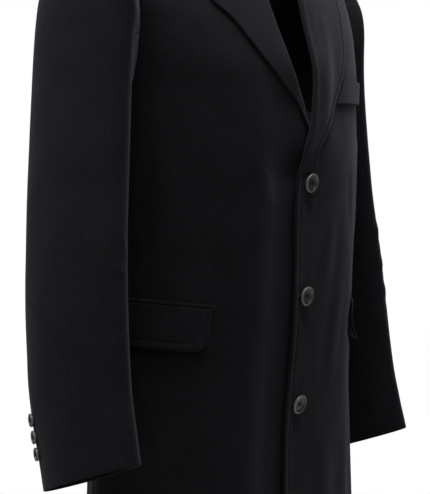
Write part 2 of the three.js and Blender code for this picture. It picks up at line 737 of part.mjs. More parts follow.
function manifoldOf(geometry) {
  const bare = geometry.clone();
  bare.deleteAttribute("normal");
  bare.deleteAttribute("uv");
  const merged = mergeVertices(bare, 1e-4);
  const mesh = new wasm.Mesh({
    numProp: 3,
    vertProperties: merged.attributes.position.array,
    triVerts: new Uint32Array(merged.index.array),
  });
  return new wasm.Manifold(mesh);
}

function geometryOf(manifold) {
  const mesh = manifold.getMesh();
  const geometry = new THREE.BufferGeometry();
  geometry.setAttribute("position", new THREE.BufferAttribute(mesh.vertProperties, 3));
  geometry.setIndex(new THREE.BufferAttribute(mesh.triVerts, 1));
  geometry.computeVertexNormals();
  return geometry;
}

// A turned button with a raised rim and, if asked for, four sewing holes. Its back is at z = 0.
function buttonGeometry({ radius, thick }, segments, holes) {
  const profile = [
    [0, 0],
    [radius * 0.72, 0],
    [radius, thick * 0.45],
    [radius * 0.97, thick * 0.85],
    [radius * 0.86, thick],
    [radius * 0.7, thick * 0.62],
    [0, thick * 0.55],
  ].map(([r, z]) => new THREE.Vector2(r, z));
  const turned = new THREE.LatheGeometry(profile, segments).rotateX(Math.PI / 2);
  if (!holes) return turned;
  let solid = manifoldOf(turned);
  for (const [x, y] of [[1, 1], [1, -1], [-1, 1], [-1, -1]]) {
    const drill = new THREE.CylinderGeometry(radius * 0.09, radius * 0.09, thick * 3, 6);
    drill.rotateX(Math.PI / 2).translate(x * radius * 0.19, y * radius * 0.19, 0);
    solid = solid.subtract(manifoldOf(drill));
  }
  return geometryOf(solid);
}

function seat(mesh, point, normal, clearance) {
  mesh.quaternion.setFromUnitVectors(vector(0, 0, 1), normal);
  mesh.position.copy(point).addScaledVector(normal, clearance);
}

FRONT_BUTTON.levels.forEach((level, i) => {
  const angle = angleAt(level, FRONT_BUTTON.x);
  const mesh = add("front_button_" + (i + 1), buttonGeometry(FRONT_BUTTON, 22, true), horn);
  seat(mesh, onPanel(LEFT, FRONT, angle, level), bodyNormal(FRONT, angle, level), 0.5);
});

for (const [side, word] of [[LEFT, "left"], [RIGHT, "right"]]) {
  const cuff = SLEEVE[0];
  const share = 1 - CUFF_BUTTON.angle / 360;
  for (let i = 0; i < CUFF_BUTTON.count; i++) {
    const z = cuff.z + CUFF_BUTTON.first + i * CUFF_BUTTON.pitch;
    const point = ringPoint(side, z, share);
    const across = ringPoint(side, z, share + 0.02).sub(ringPoint(side, z, share - 0.02));
    const up = ringPoint(side, z + 5, share).sub(ringPoint(side, z - 5, share));
    const normal = across.cross(up).multiplyScalar(-side).normalize();
    const name = "cuff_button_" + word + "_" + (i + 1);
    seat(add(name, buttonGeometry(CUFF_BUTTON, 16, false), horn), point, normal, 0.6);
  }
}

export default coat;
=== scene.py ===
"""A man's single-breasted overcoat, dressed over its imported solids.

Sizes are in millimetres up to the point where a mesh is made. The front faces -Y, the wearer's
left is at +X, and the origin is the middle of the neck opening. The cloth's form comes from the
same named sizes as the solids, sampled finer, with creases, turned edges and stitching added.
"""
import math

import bmesh
import bpy
import numpy as np
from mathutils import Matrix, Vector


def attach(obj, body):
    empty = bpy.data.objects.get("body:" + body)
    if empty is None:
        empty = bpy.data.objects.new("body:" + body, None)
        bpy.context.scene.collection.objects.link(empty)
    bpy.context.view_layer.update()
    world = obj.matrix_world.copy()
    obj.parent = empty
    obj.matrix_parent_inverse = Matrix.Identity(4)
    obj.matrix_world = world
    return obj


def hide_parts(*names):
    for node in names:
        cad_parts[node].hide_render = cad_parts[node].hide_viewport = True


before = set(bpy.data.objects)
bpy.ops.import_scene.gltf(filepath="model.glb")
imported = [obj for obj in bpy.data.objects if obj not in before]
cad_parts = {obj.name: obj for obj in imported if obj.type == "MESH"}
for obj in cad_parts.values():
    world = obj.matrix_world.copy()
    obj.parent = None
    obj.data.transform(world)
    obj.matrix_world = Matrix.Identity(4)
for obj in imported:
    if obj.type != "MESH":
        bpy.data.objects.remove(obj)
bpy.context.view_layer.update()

# ---------- sizes of the solids
WALL = 2.5
DOUBLED = 3.0
SEAM = 0.3
FOLD_RADIUS = 2.3
HEM = -1050
ARMPIT = -235
NECK = 25
SHOULDER = 238
SHOULDER_DROP = 47
EDGE = 22
BREAK = -324
GORGE = -21.8
NECK_HALF = 70
NAPE_DIP = 0.075
NAPE_LEVEL = NECK - NAPE_DIP * (NECK - ARMPIT)
BLOOM = 6
SIDE_SEAM = 14
VENT_TOP = -660
VENT_UNDER = 38
FRONT, BACK = -1, 1
LEFT, RIGHT = 1, -1
SIDES = ((LEFT, "left"), (RIGHT, "right"))


def table(names, *rows):
    return {name: np.array(column, float) for name, column in zip(names.split(), zip(*rows))}


BODY = table(
    "level half front back side square",
    (HEM, 241, 110, 119, 4, 2.4),
    (-900, 237, 108, 116, 4, 2.4),
    (-767, 232, 108, 114, 4, 2.4),
    (-665, 226, 112, 117, 4, 2.4),
    (-600, 219, 116, 118, 4, 2.4),
    (-500, 213, 126, 111, 4, 2.4),
    (-440, 213, 129, 107, 4, 2.4),
    (-375, 216, 132, 110, 4, 2.4),
    (-315, 220, 135, 117, 4, 2.35),
    (-270, 222, 134, 120, 4, 2.32),
    (ARMPIT, 224, 131, 122, 5, 2.36),
    (-194, 228, 126, 125, 7, 2.5),
    (-150, 233, 116, 127, 8, 2.7),
    (-107, 240, 107, 127, 9, 2.8),
    (NECK, 262, 84, 120, 15, 2.6),
)
# face, side, angle, spread, low, high, fade, depth
FOLDS = (
    (FRONT, LEFT, 52, 15, -565, -492, 34, -7),
    (FRONT, LEFT, 30, 9, -1400, -330, 160, 2.5),
    (FRONT, RIGHT, 64, 9, -1400, -560, 160, 4),
    (FRONT, RIGHT, 36, 12, -1400, -640, 160, -3),
    (BACK, RIGHT, 30, 12, -1400, -400, 160, 5),
    (BACK, RIGHT, 66, 10, -1400, -560, 160, -4),
    (BACK, LEFT, 34, 12, -1400, -430, 160, 5),
    (BACK, LEFT, 62, 10, -1400, -600, 160, -4),
)
ROLL = table(
    "level left right",
    (HEM, -22, -22), (-750, -20, -20), (-660, -22, -22), (-565, -18.5, -18.5), (-500, -21, -21),
    (-440, -23, -23), (-385, -25.5, -25.5), (-350, -25, -25), (BREAK, -EDGE, -EDGE),
    (-310, -15, -15), (-271, 1, -2), (-244, 9, 9), (-217, 16, 27), (-194, 20, 37),
    (-150, 28, 42), (-107, 36, 45), (-70, 43, 48), (GORGE, 53, 53), (NECK, NECK_HALF, NECK_HALF),
)
LAPEL = table(
    "level left right",
    (BREAK - 8, 15.5, -19), (-318, 13, -14), (-304, 14, -11), (-288, 25, -8), (-266, 43, 2),
    (-244, 58, 18),
    (-222, 77, 46), (-197, 96, 70), (-162, 118, 97), (-130, 130, 120), (-106, 138, 144),
    (-69, 150, 150),
)
COLLAR = table(
    "at foot x y bow rise upright",
    (0, 64, 0, 88, 0, 39, 1),
    (0.17, 58, 47, 83, 0, 38, 1),
    (0.33, 38, 88, 62, 0, 35, 1),
    (0.45, 18, 110, 35, 0, 32, 1),
    (0.58, -2, 124, 4, 0, 27, 0.95),
    (0.7, -20, 131, -17, 0, 21, 0.75),
    (0.82, -35, 135, -34, 0, 14, 0.45),
    (0.92, -47.5, 136, -49.5, 0.6, 9, 0.15),
    (1, -55.7, 104, -68.3, 1.4, 7, 0),
)
SLEEVE = table(
    "z x y deep thick slant",
    (-705, 293, -22, 74, 30, 0.29),
    (-660, 291, -11, 76, 31, 0.23),
    (-610, 289, 0, 78, 31, 0.16),
    (-520, 285, 10, 79, 32, 0.07),
    (-430, 278, 17, 78, 33, 0.02),
    (-350, 268, 24, 78, 34, 0),
    (-280, 261, 27, 78, 33, 0),
)
CAP = table(
    "rise turn start end",
    (0, 132, 9, 14), (0.06, 124, 11, 26), (0.12, 116, 15, 52), (0.21, 104, 22, 94),
    (0.45, 92, 38, 162), (0.57, 82, 46, 190), (0.7, 64, 52, 216), (0.82, 42, 53, 231),
    (0.9, 26, 52, 238), (1, 10, 48, 240),
)
YOKE = table(
    "index rise",
    *enumerate((0, 0.02, 0.06, 0.12, 0.21, 0.33, 0.45, 0.57, 0.7, 0.82, 0.9, 0.96, 1)),
)
ARMHOLE = {FRONT: (0.12, 223.3, 1.2), BACK: (0.3, 203, 1.7)}  # curve, chest, bend
FLAP = dict(front=154, level=-503, length=150, height=54, corner=19, climb=0.085, lean=0.12)
FLAP_LIFT = {LEFT: 7, RIGHT: 3}  # how far its lower edge stands off more than its upper one
JET = dict(height=5, over=4)
BREAST = dict(outer=192, level=-193.3, width=100, height=36, climb=0.24, clear=1.6)
FRONT_BUTTON = dict(
    radius=12.7, thick=4, hole=1.15, spread=2.5, strands=4, segments=56,
    levels=(-343, -489, -629), x=1.5, nods=(9, 7, 14),
)
NOD_LIFT = 0.18  # how far a degree of nod moves a button out
CUFF_BUTTON = dict(
    radius=8.6, thick=3.4, hole=0.8, spread=1.7, strands=3, segments=44,
    count=3, first=41, pitch=18.8, angle=58,
)
DISH = 0.42  # how high a button's middle lies, as a share of its thickness
# A button's section from its back to its middle, as shares of its radius and thickness.
BUTTON_SECTION = (
    (0, 0), (0.74, 0), (0.93, 0.16), (1, 0.5), (0.99, 0.84), (0.92, 1.03), (0.83, 1.03),
    (0.76, 0.82), (0.71, 0.52), (0.6, DISH), (0.34, DISH), (0, DISH),
)
BUTTONHOLE = dict(start=-12.5, end=6, slit=0.45, depth=2.1, pitch=0.95)

# ---------- looks of the cloth
STITCH_IN = 9.0  # from an edge to its row of stitches
STITCH = dict(
    pitch=3.9, length=3.1, radius=0.27,
    along=(0, 0.12, 0.5, 0.88, 1), over=(-0.35, 0.02, 0.16, 0.02, -0.35), thick=(0.6, 1, 1.05, 1, 0.6),
)
GROOVE = 0.6  # how deep the stitches pull the cloth in
PUFF = 0.4  # how far the edge swells outside them
GROOVE_WIDTH = 1.25
VALLEY = 0.7  # how deep a seam lies
VALLEY_WIDTH = 2.4
SLEEVE_SEAM = 0.3  # how much softer the seams along a sleeve are, as a share
FAR = 8  # from a seam to where its valley has died out
TUCK = 0.8  # how far a seam's allowance reaches past it, inside
LAPEL_SWELL = {LEFT: 0.9, RIGHT: 1.7}  # how much stronger the same is on a lapel
LAPEL_TAIL = 7  # how far below the break the left lapel runs out
FACING = 95  # how far cloth is turned in at a front's edge, before the lining
HEM_TURN = 38  # the same at the hem, the vent and the cuffs
LINING_IN = 6  # how far the lining ends from a seam
SEAM_REACH = 2  # how far a sleeve's inner face reaches past the armhole seam
LAPEL_OPENS = 38  # the stretch over which its fold opens to full size
LAPEL_START = dict(radius=0.35, thick=0.7, rest=0.05)  # of the fold and the cloth where it starts
# The right front's dip beside the left one's edge, and the levels that it ends between.
TROUGH = dict(at=46, width=32, depth=6, low=-350, high=-290)
VENT_SINK = dict(depth=3.4, start=-80, end=-40, fade=90)  # the right back, behind the vent's lap
REBOUND = dict(height=0.3, at=1.7, width=0.7)  # beside a crease, as shares of it
# Waves of hung cloth: length, slant of one into the next, and height.
DRIFT = ((310, 0.25, 0.5), (173, -0.35, 0.34), (97, 0.15, 0.2), (61, -0.2, 0.11))
TAU = 6.28
TWILL = (560, 900)  # ribs of the weave to a metre, across and along

# Creases: two ends as (degrees round the body, level), half width, height and sideways bend.
FRONT_CREASES = {
    LEFT: (
        (14, -366, 8, -492, 11, 1.2, 5),
        (30, -300, 34, -420, 10, 1.0, 3),
        (24, -420, 17, -640, 12, 1.3, -6),
        (40, -420, 36, -640, 12, -1.3, 5),
        (12, -640, 16, -900, 13, 1.4, 6),
        (28, -600, 30, -980, 15, -1.6, -8),
        (46, -620, 50, -1040, 15, 2.2, 6),
        (62, -560, 64, -1000, 14, -1.8, 5),
        (76, -520, 76, -940, 13, 1.4, -5),
        (60, -262, 40, -300, 10, 0.8, 3),
    ),
    RIGHT: (
        (12, -400, 26, -300, 11, 0.8, 4),
        (14, -352, 40, -430, 11, 0.9, -8),
        (30, -300, 34, -480, 20, 1.0, 8),
        (22, -620, 30, -1000, 16, -1.8, 8),
        (48, -640, 52, -1040, 15, 2.0, -8),
        (66, -520, 70, -980, 13, -1.6, 6),
        (78, -300, 74, -470, 12, -1.4, 5),
    ),
}
BACK_CREASES = {
    LEFT: (
        (66, -262, 30, -330, 10, 1.4, 6),
        (60, -200, 34, -150, 11, 1.2, -5),
        (12, -420, 18, -640, 13, 1.6, 5),
        (44, -380, 40, -620, 12, -1.8, -6),
        (20, -660, 24, -1040, 15, -2.2, 6),
        (50, -640, 56, -1040, 15, 2.4, -7),
        (76, -420, 72, -900, 12, 1.8, 6),
    ),
    RIGHT: (
        (64, -258, 26, -340, 11, 1.3, 7),
        (58, -196, 30, -158, 10, 1.3, -6),
        (16, -440, 14, -650, 12, 1.8, -5),
        (40, -360, 46, -600, 13, -1.6, 6),
        (24, -700, 20, -1040, 16, -2.0, -6),
        (52, -620, 48, -1040, 14, 2.2, 8),
        (78, -400, 74, -880, 12, 1.6, -6),
    ),
}
# The same on a lapel, in millimetres from its fold.
LAPEL_CREASES = {
    LEFT: (
        (30, -300, 62, -70, 11, 1.5, 8),
        (10, -270, 22, -60, 9, -1.0, 6),
        (56, -230, 96, -80, 12, -0.9, 5),
    ),
    RIGHT: (
        (14, -250, 40, -70, 12, 1.0, -6),
        (34, -210, 80, -60, 12, -0.9, -5),
    ),
}
# Where a front button drags at the cloth: millimetres from it at each end, then as above.
DRAGS = (
    (-14, -11, 8, -38, 2.8, -2.2, -5),
    (-8, -15, 18, -36, 4.2, 1.9, 4),
    (9, 13, 20, 44, 5.0, 1.0, 3),
    (-15, 8, -12, 34, 3.0, 0.6, 2),
)
# The same on a sleeve, with degrees round from its outer side by the front.
SLEEVE_CREASES = {
    LEFT: (
        (60, -392, 118, -430, 8, 1.4, 4),
        (66, -440, 124, -462, 7, 1.6, -4),
        (50, -500, 112, -480, 8, 1.2, 4),
        (-30, -330, -60, -520, 13, -1.2, 8),
        (18, -300, 8, -560, 15, 1.0, -8),
        (190, -340, 232, -420, 9, 1.4, 5),
        (196, -450, 246, -478, 8, 1.5, -5),
        (-80, -540, -40, -640, 12, 1.0, 6),
        (20, -600, 40, -690, 12, 0.9, -5),
    ),
    RIGHT: (
        (64, -400, 124, -436, 8, 1.3, -4),
        (58, -452, 118, -470, 7, 1.5, 4),
        (70, -512, 120, -492, 8, 1.1, -4),
        (-24, -310, -52, -540, 16, -1.0, 8),
        (22, -320, 12, -600, 17, 0.9, -8),
        (186, -350, 236, -410, 9, 1.5, -5),
        (200, -440, 240, -486, 8, 1.3, 5),
        (-70, -560, -36, -650, 13, 0.8, -6),
    ),
}
DEGREE = 3.4  # millimetres of cloth to a degree round the body
SLEEVE_DEGREE = 1.1


# ---------- mathematics
def ease(x, low, high):
    t = np.clip((x - low) / (high - low), 0, 1)
    return t * t * (3 - 2 * t)


def mix(a, b, t):
    return a + (b - a) * t


def unit(v):
    return v / np.maximum(np.linalg.norm(v, axis=-1, keepdims=True), 1e-9)


def read(rows, key, at, column):
    """A smooth curve through one column of a table."""
    k, v = rows[key], rows[column]
    at = np.clip(at, k[0], k[-1])
    i = np.clip(np.searchsorted(k, at, side="right") - 1, 0, len(k) - 2)
    before, after = np.maximum(i - 1, 0), np.minimum(i + 2, len(k) - 1)
    slope_low = (v[i + 1] - v[before]) / (k[i + 1] - k[before])
    slope_high = (v[after] - v[i]) / (k[after] - k[i])
    span = k[i + 1] - k[i]
    t = (at - k[i]) / span
    return (
        v[i] * (1 + 2 * t) * (1 - t) ** 2
        + slope_low * span * t * (1 - t) ** 2
        + v[i + 1] * t * t * (3 - 2 * t)
        + slope_high * span * t * t * (t - 1)
    )


def distances(points):
    """Distance along the last axis of points from its first."""
    steps = np.linalg.norm(np.diff(points, axis=-2), axis=-1)
    return np.concatenate([np.zeros(steps.shape[:-1] + (1,)), np.cumsum(steps, -1)], -1)


# ---------- the body's surface
def section(level):
    rise = np.maximum(0, (level - ARMPIT) / (NECK - ARMPIT))
    size = {c: read(BODY, "level", level, c) for c in ("half", "front", "back", "side", "square")}
    size["rise"] = rise
    size["power"] = 2 / size["square"]
    size["arch"] = np.maximum(0, 1 - rise**2.6) ** (1 / 2.2)
    return size


def fold_depth(face, angle, level):
    depth = 0.0
    for f_face, f_side, at, spread, low, high, fade, deep in FOLDS:
        here = (face == f_face) & (np.sign(angle) == f_side)
        off = (np.abs(angle) - at) / spread
        height = ease(level, low, low + fade) * (1 - ease(level, high - fade, high))
        depth = depth + here * deep * np.exp(-off * off) * height
    return depth


def folded(face, angle, level):
    """Turn angles past the side seam's 90 degrees into angles on the other face."""
    face, angle, level = np.broadcast_arrays(face, np.asarray(angle, float), level)
    over = np.abs(angle) > 90
    return np.where(over, -face, face), np.where(over, np.sign(angle) * 180 - angle, angle), level


def body_point(face, angle, level):
    face, angle, level = folded(face, angle, level)
    s = section(level)
    turn = np.radians(angle)
    x = s["half"] * np.sign(angle) * np.abs(np.sin(turn)) ** s["power"]
    depth = np.where(face == FRONT, s["front"] + s["side"], s["back"] - s["side"])
    y = s["side"] + face * depth * s["arch"] * np.maximum(0, np.cos(turn)) ** s["power"]
    z = level - SHOULDER_DROP * s["rise"] * np.abs(x) / SHOULDER
    out = fold_depth(face, angle, level)
    return np.stack([x + out * np.sin(turn), y + out * face * np.cos(turn), z], -1)


def body_normal(face, angle, level):
    face, angle, level = folded(face, angle, level)
    step = 0.4
    a = np.clip(angle, step - 90, 90 - step)
    low = np.minimum(level, NECK - 0.6)
    across = body_point(face, a + step, low) - body_point(face, a - step, low)
    up = body_point(face, a, low + 0.5) - body_point(face, a, low - 0.5)
    normal = np.cross(across, up) * -face[..., None]
    normal[..., 1] *= np.clip((NECK - level) / 0.6, 0, 1) * (np.abs(angle) < 90)
    return unit(normal)


def angle_at(level, x):
    s = section(level)
    share = np.minimum(1, np.abs(x) / s["half"])
    return np.sign(x) * np.degrees(np.arcsin(share ** (1 / s["power"])))


def lap(side, angle, level):
    """How far a front lies out of the body's surface where one front laps over the other."""
    s = section(level)
    x = s["half"] * np.abs(np.sin(np.radians(angle))) ** s["power"]
    across = np.where(np.sign(angle) == side, x, -x)
    overlap = 1 - ease(level, -262, -190)
    height = ease(level, BREAK - 20, -262) * (1 - ease(level, -215, -120))
    bloom = BLOOM * height * (1 - ease(np.abs(x), 20, 85))
    if side == LEFT:
        return bloom + 1.4 * (1 - ease(across, -EDGE, 24)) * overlap
    room = 2 * FOLD_RADIUS + DOUBLED + WALL + 0.8
    depth = mix(WALL + 0.8, room, ease(level, BREAK - 50, BREAK - 4))
    return bloom - depth * (1 - ease(across, EDGE, EDGE + 75)) * overlap


def on_panel(side, face, angle, level, out=0.0):
    lift = lap(side, angle, level) if face == FRONT else 0.0
    out = np.asarray(lift + out)[..., None]
    return body_point(face, angle, level) + body_normal(face, angle, level) * out

def on_front(side, angle, level, out=0.0):
    """The same on a front, with angles counted towards its own side."""
    return on_panel(side, FRONT, side * angle, level, out)


def armhole_angle(face, level):
    curve, chest, bend = ARMHOLE[face]
    rise = section(level)["rise"]
    inward = angle_at(ARMPIT + curve * (NECK - ARMPIT), chest)
    low = 90 - (90 - inward) * np.sin(np.arccos(np.clip(1 - rise / curve, -1, 1)))
    share = np.maximum(0, (rise - curve) / (1 - curve))
    return np.where(rise < curve, low, angle_at(level, chest + (SHOULDER - chest) * share**bend))


def seam_angle(level):
    return 90 + SIDE_SEAM * (1 - ease(level, -440, ARMPIT))


def roll_x(side, level):
    return read(ROLL, "level", level, "left" if side == LEFT else "right")


def nape(level):
    above = (1 - section(level)["rise"]) / NAPE_DIP
    return np.sqrt(np.maximum(0, 1 - above**2))


# ---------- relief of the cloth
def creases(rows, across, level, degree):
    """Soft ridges and troughs, each between two ends, with a slight rebound beside it."""
    total = np.zeros(np.broadcast(across, level).shape)
    for a0, z0, a1, z1, width, height, bend in rows:
        run, rise = (a1 - a0) * degree, z1 - z0
        length = math.hypot(run, rise)
        dx, dz = (across - a0) * degree, level - z0
        t = (dx * run + dz * rise) / length**2
        inside = np.clip(t, 0, 1)
        off = (dz * run - dx * rise) / length - bend * 4 * inside * (1 - inside)
        q = np.abs(off / width)
        beside = np.exp(-(((q - REBOUND["at"]) / REBOUND["width"]) ** 2))
        shape = np.exp(-q * q) - REBOUND["height"] * beside
        total += height * shape * ease(t, 0, 0.4) * (1 - ease(t, 0.6, 1))
    return total


def drift(u, v, seed):
    """Slow unevenness of hung cloth, in millimetres. u and v are in millimetres."""
    total = 0.0
    for i, (wave, slant, size) in enumerate(DRIFT):
        phase = seed * 1.7 + i * 2.3
        sway = 1.3 * np.sin(v * TAU / (wave * 2.1) + phase)
        total = total + size * np.sin((u + slant * v) * TAU / wave + phase + sway)
    return total


def turned(distance, thickness):
    """How far each face of a wall draws in where its edge is turned over."""
    reach = thickness * 0.5
    t = np.clip(1 - distance / reach, 0, 1)
    return 0.46 * thickness * (1 - np.sqrt(1 - t * t))


def valley(distance):
    return VALLEY * np.exp(-((distance / VALLEY_WIDTH) ** 2))


def swell(distance):
    """The swollen edge and the groove of its stitches."""
    groove = GROOVE * np.exp(-(((distance - STITCH_IN) / GROOVE_WIDTH) ** 2))
    puff = PUFF * ease(distance, 0, 2.5) * (1 - ease(distance, STITCH_IN - 3.5, STITCH_IN))
    return puff - groove


# Places of columns beside an edge: plain, with a row of stitches, on a flap and on the welt.
PLAIN_EDGE = (0, 0.35, 1.1, 2.4, 4.4)
SEWN_EDGE = (0, 0.35, 0.9, 1.6, 3, 4.8, 6.4, 7.5, 8.3, 9, 9.7, 10.6, 12.2, 15)
FLAP_EDGE = (0, 0.2, 0.6, 1.2, 2, 3, 4.3, 5.8, 7.4, 9, 10.6, 12.4, 14.5, 17)
WELT_EDGE = (0, 0.35, 1.1, 1.7, 2.2, 2.8, 4.4)
STITCH_COLUMN = SEWN_EDGE.index(STITCH_IN)


def stations(total, start, end, count):
    """Distances across a piece: those beside each edge, and even ones between."""
    a, b = np.array(start, float), np.array(end, float)
    squeeze = min(1.0, total / (a[-1] + b[-1] + 2))
    a, b = a * squeeze, b * squeeze
    between = np.linspace(a[-1], total - b[-1], count + 2)[1:-1]
    return np.concatenate([a, between, total - b[::-1]])


def resample(points, start, end, count):
    """Rows of points, laid out anew by distance along each row."""
    rows, places = [], []
    for row in points:
        length = distances(row)
        at = stations(length[-1], start, end, count)
        rows.append(np.stack([np.interp(at, length, row[:, k]) for k in range(3)], -1))
        places.append(at)
    return np.array(rows), np.array(places)


def column_distances(grid):
    """Distance down each column of a grid from its first row."""
    return distances(grid.transpose(1, 0, 2)).T


def from_last_row(grid):
    return column_distances(grid[::-1])[::-1]


def grid_normals(grid):
    down, up = grid[np.maximum(np.arange(len(grid)) - 1, 0)], np.roll(grid, -1, 0)
    up[-1] = grid[-1]
    before, after = np.roll(grid, 1, 1), np.roll(grid, -1, 1)
    before[:, 0], after[:, -1] = grid[:, 0], grid[:, -1]
    return unit(np.cross(after - before, up - down))


# ---------- meshes
def link(mesh, name):
    obj = bpy.data.objects.new(name, mesh)
    bpy.context.scene.collection.objects.link(obj)
    return obj


def wall(kind, word, outer, inner, uv, lined=None):
    """A closed wall between two grids of points. uv is two grids, in millimetres of cloth, and
    lined says where the inner face is of lining."""
    tail = "_" + word if word else ""
    name = kind + "_cloth" + tail
    rows, columns = outer.shape[:2]
    count = rows * columns
    index = np.arange(count).reshape(rows, columns)

    def quads(a, b, c, d):
        return np.stack([a, b, c, d], -1).reshape(-1, 4)

    top = quads(index[:-1, :-1], index[:-1, 1:], index[1:, 1:], index[1:, :-1])
    faces = [top, top[:, ::-1] + count]
    rim = np.concatenate([index[0], index[1:, -1], index[-1, -2::-1], index[-2:0:-1, 0]])
    after = np.roll(rim, -1)
    faces.append(quads(after, rim, rim + count, after + count))
    faces = np.concatenate(faces)
    points = np.concatenate([outer.reshape(-1, 3), inner.reshape(-1, 3)])
    a, b, c = points[faces[:, 0]], points[faces[:, 1]], points[faces[:, 2]]
    d = points[faces[:, 3]]
    volume = (np.cross(b - a, c - a) * a).sum() + (np.cross(c - a, d - a) * a).sum()
    if volume < 0:
        faces = faces[:, ::-1]
    mesh = bpy.data.meshes.new(name)
    mesh.from_pydata((points / 1000).tolist(), [], faces.tolist())
    layer = mesh.uv_layers.new(name="cloth")
    both = np.tile(np.stack(uv, -1).reshape(-1, 2), (2, 1)) / 1000
    loops = np.zeros(len(mesh.loops), int)
    mesh.loops.foreach_get("vertex_index", loops)
    layer.data.foreach_set("uv", both[loops].ravel())
    mesh.shade_smooth()
    mesh.materials.append(coating)
    if lined is not None:
        mesh.materials.append(lining)
        index = np.zeros(len(mesh.polygons), int)
        index[len(top):2 * len(top)] = lined[:-1, :-1].ravel()
        mesh.polygons.foreach_set("material_index", index)
    keep(link(mesh, name), "coating", kind + tail)


def threads(name, runs, radii):
    """Short threads joined in one piece. Each run is a row of points with these radii."""
    sides = 6
    turns = np.arange(sides)[:, None] * 2 * math.pi / sides
    points, faces = [], []
    for run in runs:
        along = unit(np.gradient(run, axis=0))
        across = unit(np.cross(along, (0.31, 0.22, 0.93)))[:, None]
        other = np.cross(along[:, None], across)
        base = len(points) * sides
        ring = across * np.cos(turns) + other * np.sin(turns)
        points.extend(run[:, None] + ring * np.array(radii)[:, None, None])
        for low in range(base, base + (len(run) - 1) * sides, sides):
            for k in range(sides):
                n = (k + 1) % sides
                faces.append((low + k, low + n, low + sides + n, low + sides + k))
        faces.append(tuple(base + k for k in range(sides))[::-1])
        faces.append(tuple(base + (len(run) - 1) * sides + k for k in range(sides)))
    mesh = bpy.data.meshes.new(name)
    mesh.from_pydata((np.concatenate(points) / 1000).tolist(), [], faces)
    mesh.shade_smooth()
    mesh.materials.append(thread)
    keep(link(mesh, name), "coating")


# ---------- materials
class Graph:
    """A node material, with its principled shader's fixed numbers set on the shader."""

    def __init__(self, name, **values):
        self.material = bpy.data.materials.new(name)
        self.material.use_nodes = True
        self.tree = self.material.node_tree
        self.shader = self.tree.nodes["Principled BSDF"]
        for key, value in values.items():
            self.shader.inputs[key.replace("_", " ")].default_value = value

    def node(self, kind, sources=(), numbers=(), **settings):
        node = self.tree.nodes.new("ShaderNode" + kind)
        for key, value in settings.items():
            setattr(node, key, value)
        for name, number in dict(numbers).items():
            node.inputs[name].default_value = number
        for name, source in dict(sources).items():
            self.tree.links.new(source, node.inputs[name])
        return node

    def noise(self, vector, scale, detail, **numbers):
        numbers = {"Scale": scale, "Detail": detail, **numbers}
        return self.node("TexNoise", {"Vector": vector}, numbers).outputs[0]

    def wave(self, vector, scale, distortion):
        numbers = {"Scale": scale, "Distortion": distortion}
        return self.node("TexWave", {"Vector": vector}, numbers).outputs[1]

    def stretched(self, vector, y):
        return self.node("Mapping", {"Vector": vector}, {"Scale": (1, y, 1)}).outputs[0]

    def uv(self, name):
        return self.node("UVMap", uv_map=name).outputs[0]

    def place(self):
        return self.node("TexCoord").outputs["Object"]

    def weighed(self, *terms):
        """The sum of sources, each times its weight."""
        total = None
        for source, weight in terms:
            term = self.node("Math", {0: source}, {1: weight}, operation="MULTIPLY").outputs[0]
            if total is not None:
                term = self.node("Math", {0: total, 1: term}, operation="ADD").outputs[0]
            total = term
        return total

    def ramp(self, source, *stops):
        node = self.node("ValToRGB", {0: source})
        for element, (at, color) in zip(node.color_ramp.elements, stops):
            element.position = at
            element.color = (*color, 1)
        return node.outputs[0]

    def out(self, name, source):
        self.tree.links.new(source, self.shader.inputs[name])

    def bump(self, height, strength, distance):
        numbers = {"Strength": strength, "Distance": distance}
        self.out("Normal", self.node("Bump", {"Height": height}, numbers).outputs[0])


def coating_material():
    """Napped wool twill. The pattern runs along the cloth's own uv, in metres."""
    g = Graph(
        "wool_coating",
        Roughness=0.9,
        Specular_IOR_Level=0.08,
        Sheen_Weight=0.11,
        Sheen_Roughness=0.4,
        Sheen_Tint=(0.76, 0.72, 0.9, 1),
    )
    uv = g.uv("cloth")
    u, v = g.node("SeparateXYZ", {"Vector": uv}).outputs[:2]
    ribs = g.weighed((u, TAU * TWILL[0]), (v, TAU * TWILL[1]))
    twill = g.node("Math", {0: ribs}, operation="SINE").outputs[0]
    long = g.stretched(uv, 0.45)
    nap, fleck = g.noise(long, 900, 4, Roughness=0.7), g.noise(long, 260, 3)
    tone = g.weighed((nap, 0.42), (fleck, 0.38), (g.noise(uv, 22, 3), 0.2), (twill, 0.03))
    dark, light = (0.0024, 0.0022, 0.003), (0.0084, 0.0078, 0.0098)
    g.out("Base Color", g.ramp(tone, (0.36, dark), (0.64, light)))
    g.bump(g.weighed((twill, 0.22), (nap, 1), (fleck, 0.8)), 0.55, 0.0005)
    return g.material


def horn_material():
    g = Graph("polished_horn", Specular_IOR_Level=0.55, Coat_Weight=0.25, Coat_Roughness=0.22)
    from_middle = g.node("SeparateXYZ", {"Vector": g.uv("turned")}).outputs[0]
    streaks = g.noise(g.stretched(g.place(), 3.2), 130, 4, Distortion=1.4)
    middle = g.ramp(streaks, (0.35, (0.009, 0.0075, 0.007)), (0.72, (0.036, 0.03, 0.028)))
    # The rim is coloured lighter than the middle. This is partly the horn's own lighter rim and partly
    # a painted highlight, standing in for the bright ring of reflected light round it.
    rim = g.ramp(streaks, (0.35, (0.07, 0.068, 0.066)), (0.72, (0.14, 0.135, 0.13)))
    share = g.ramp(from_middle, (0.78, (0, 0, 0)), (0.88, (1, 1, 1)))
    color = g.node("Mix", {0: share}, data_type="RGBA")
    g.tree.links.new(middle, color.inputs[6])
    g.tree.links.new(rim, color.inputs[7])
    g.out("Base Color", color.outputs[2])
    fine = g.noise(g.place(), 2500, 2)
    rough = g.node("MapRange", {"Value": fine}, {"To Min": 0.25, "To Max": 0.42})
    g.out("Roughness", rough.outputs[0])
    g.bump(fine, 0.15, 0.0001)
    return g.material


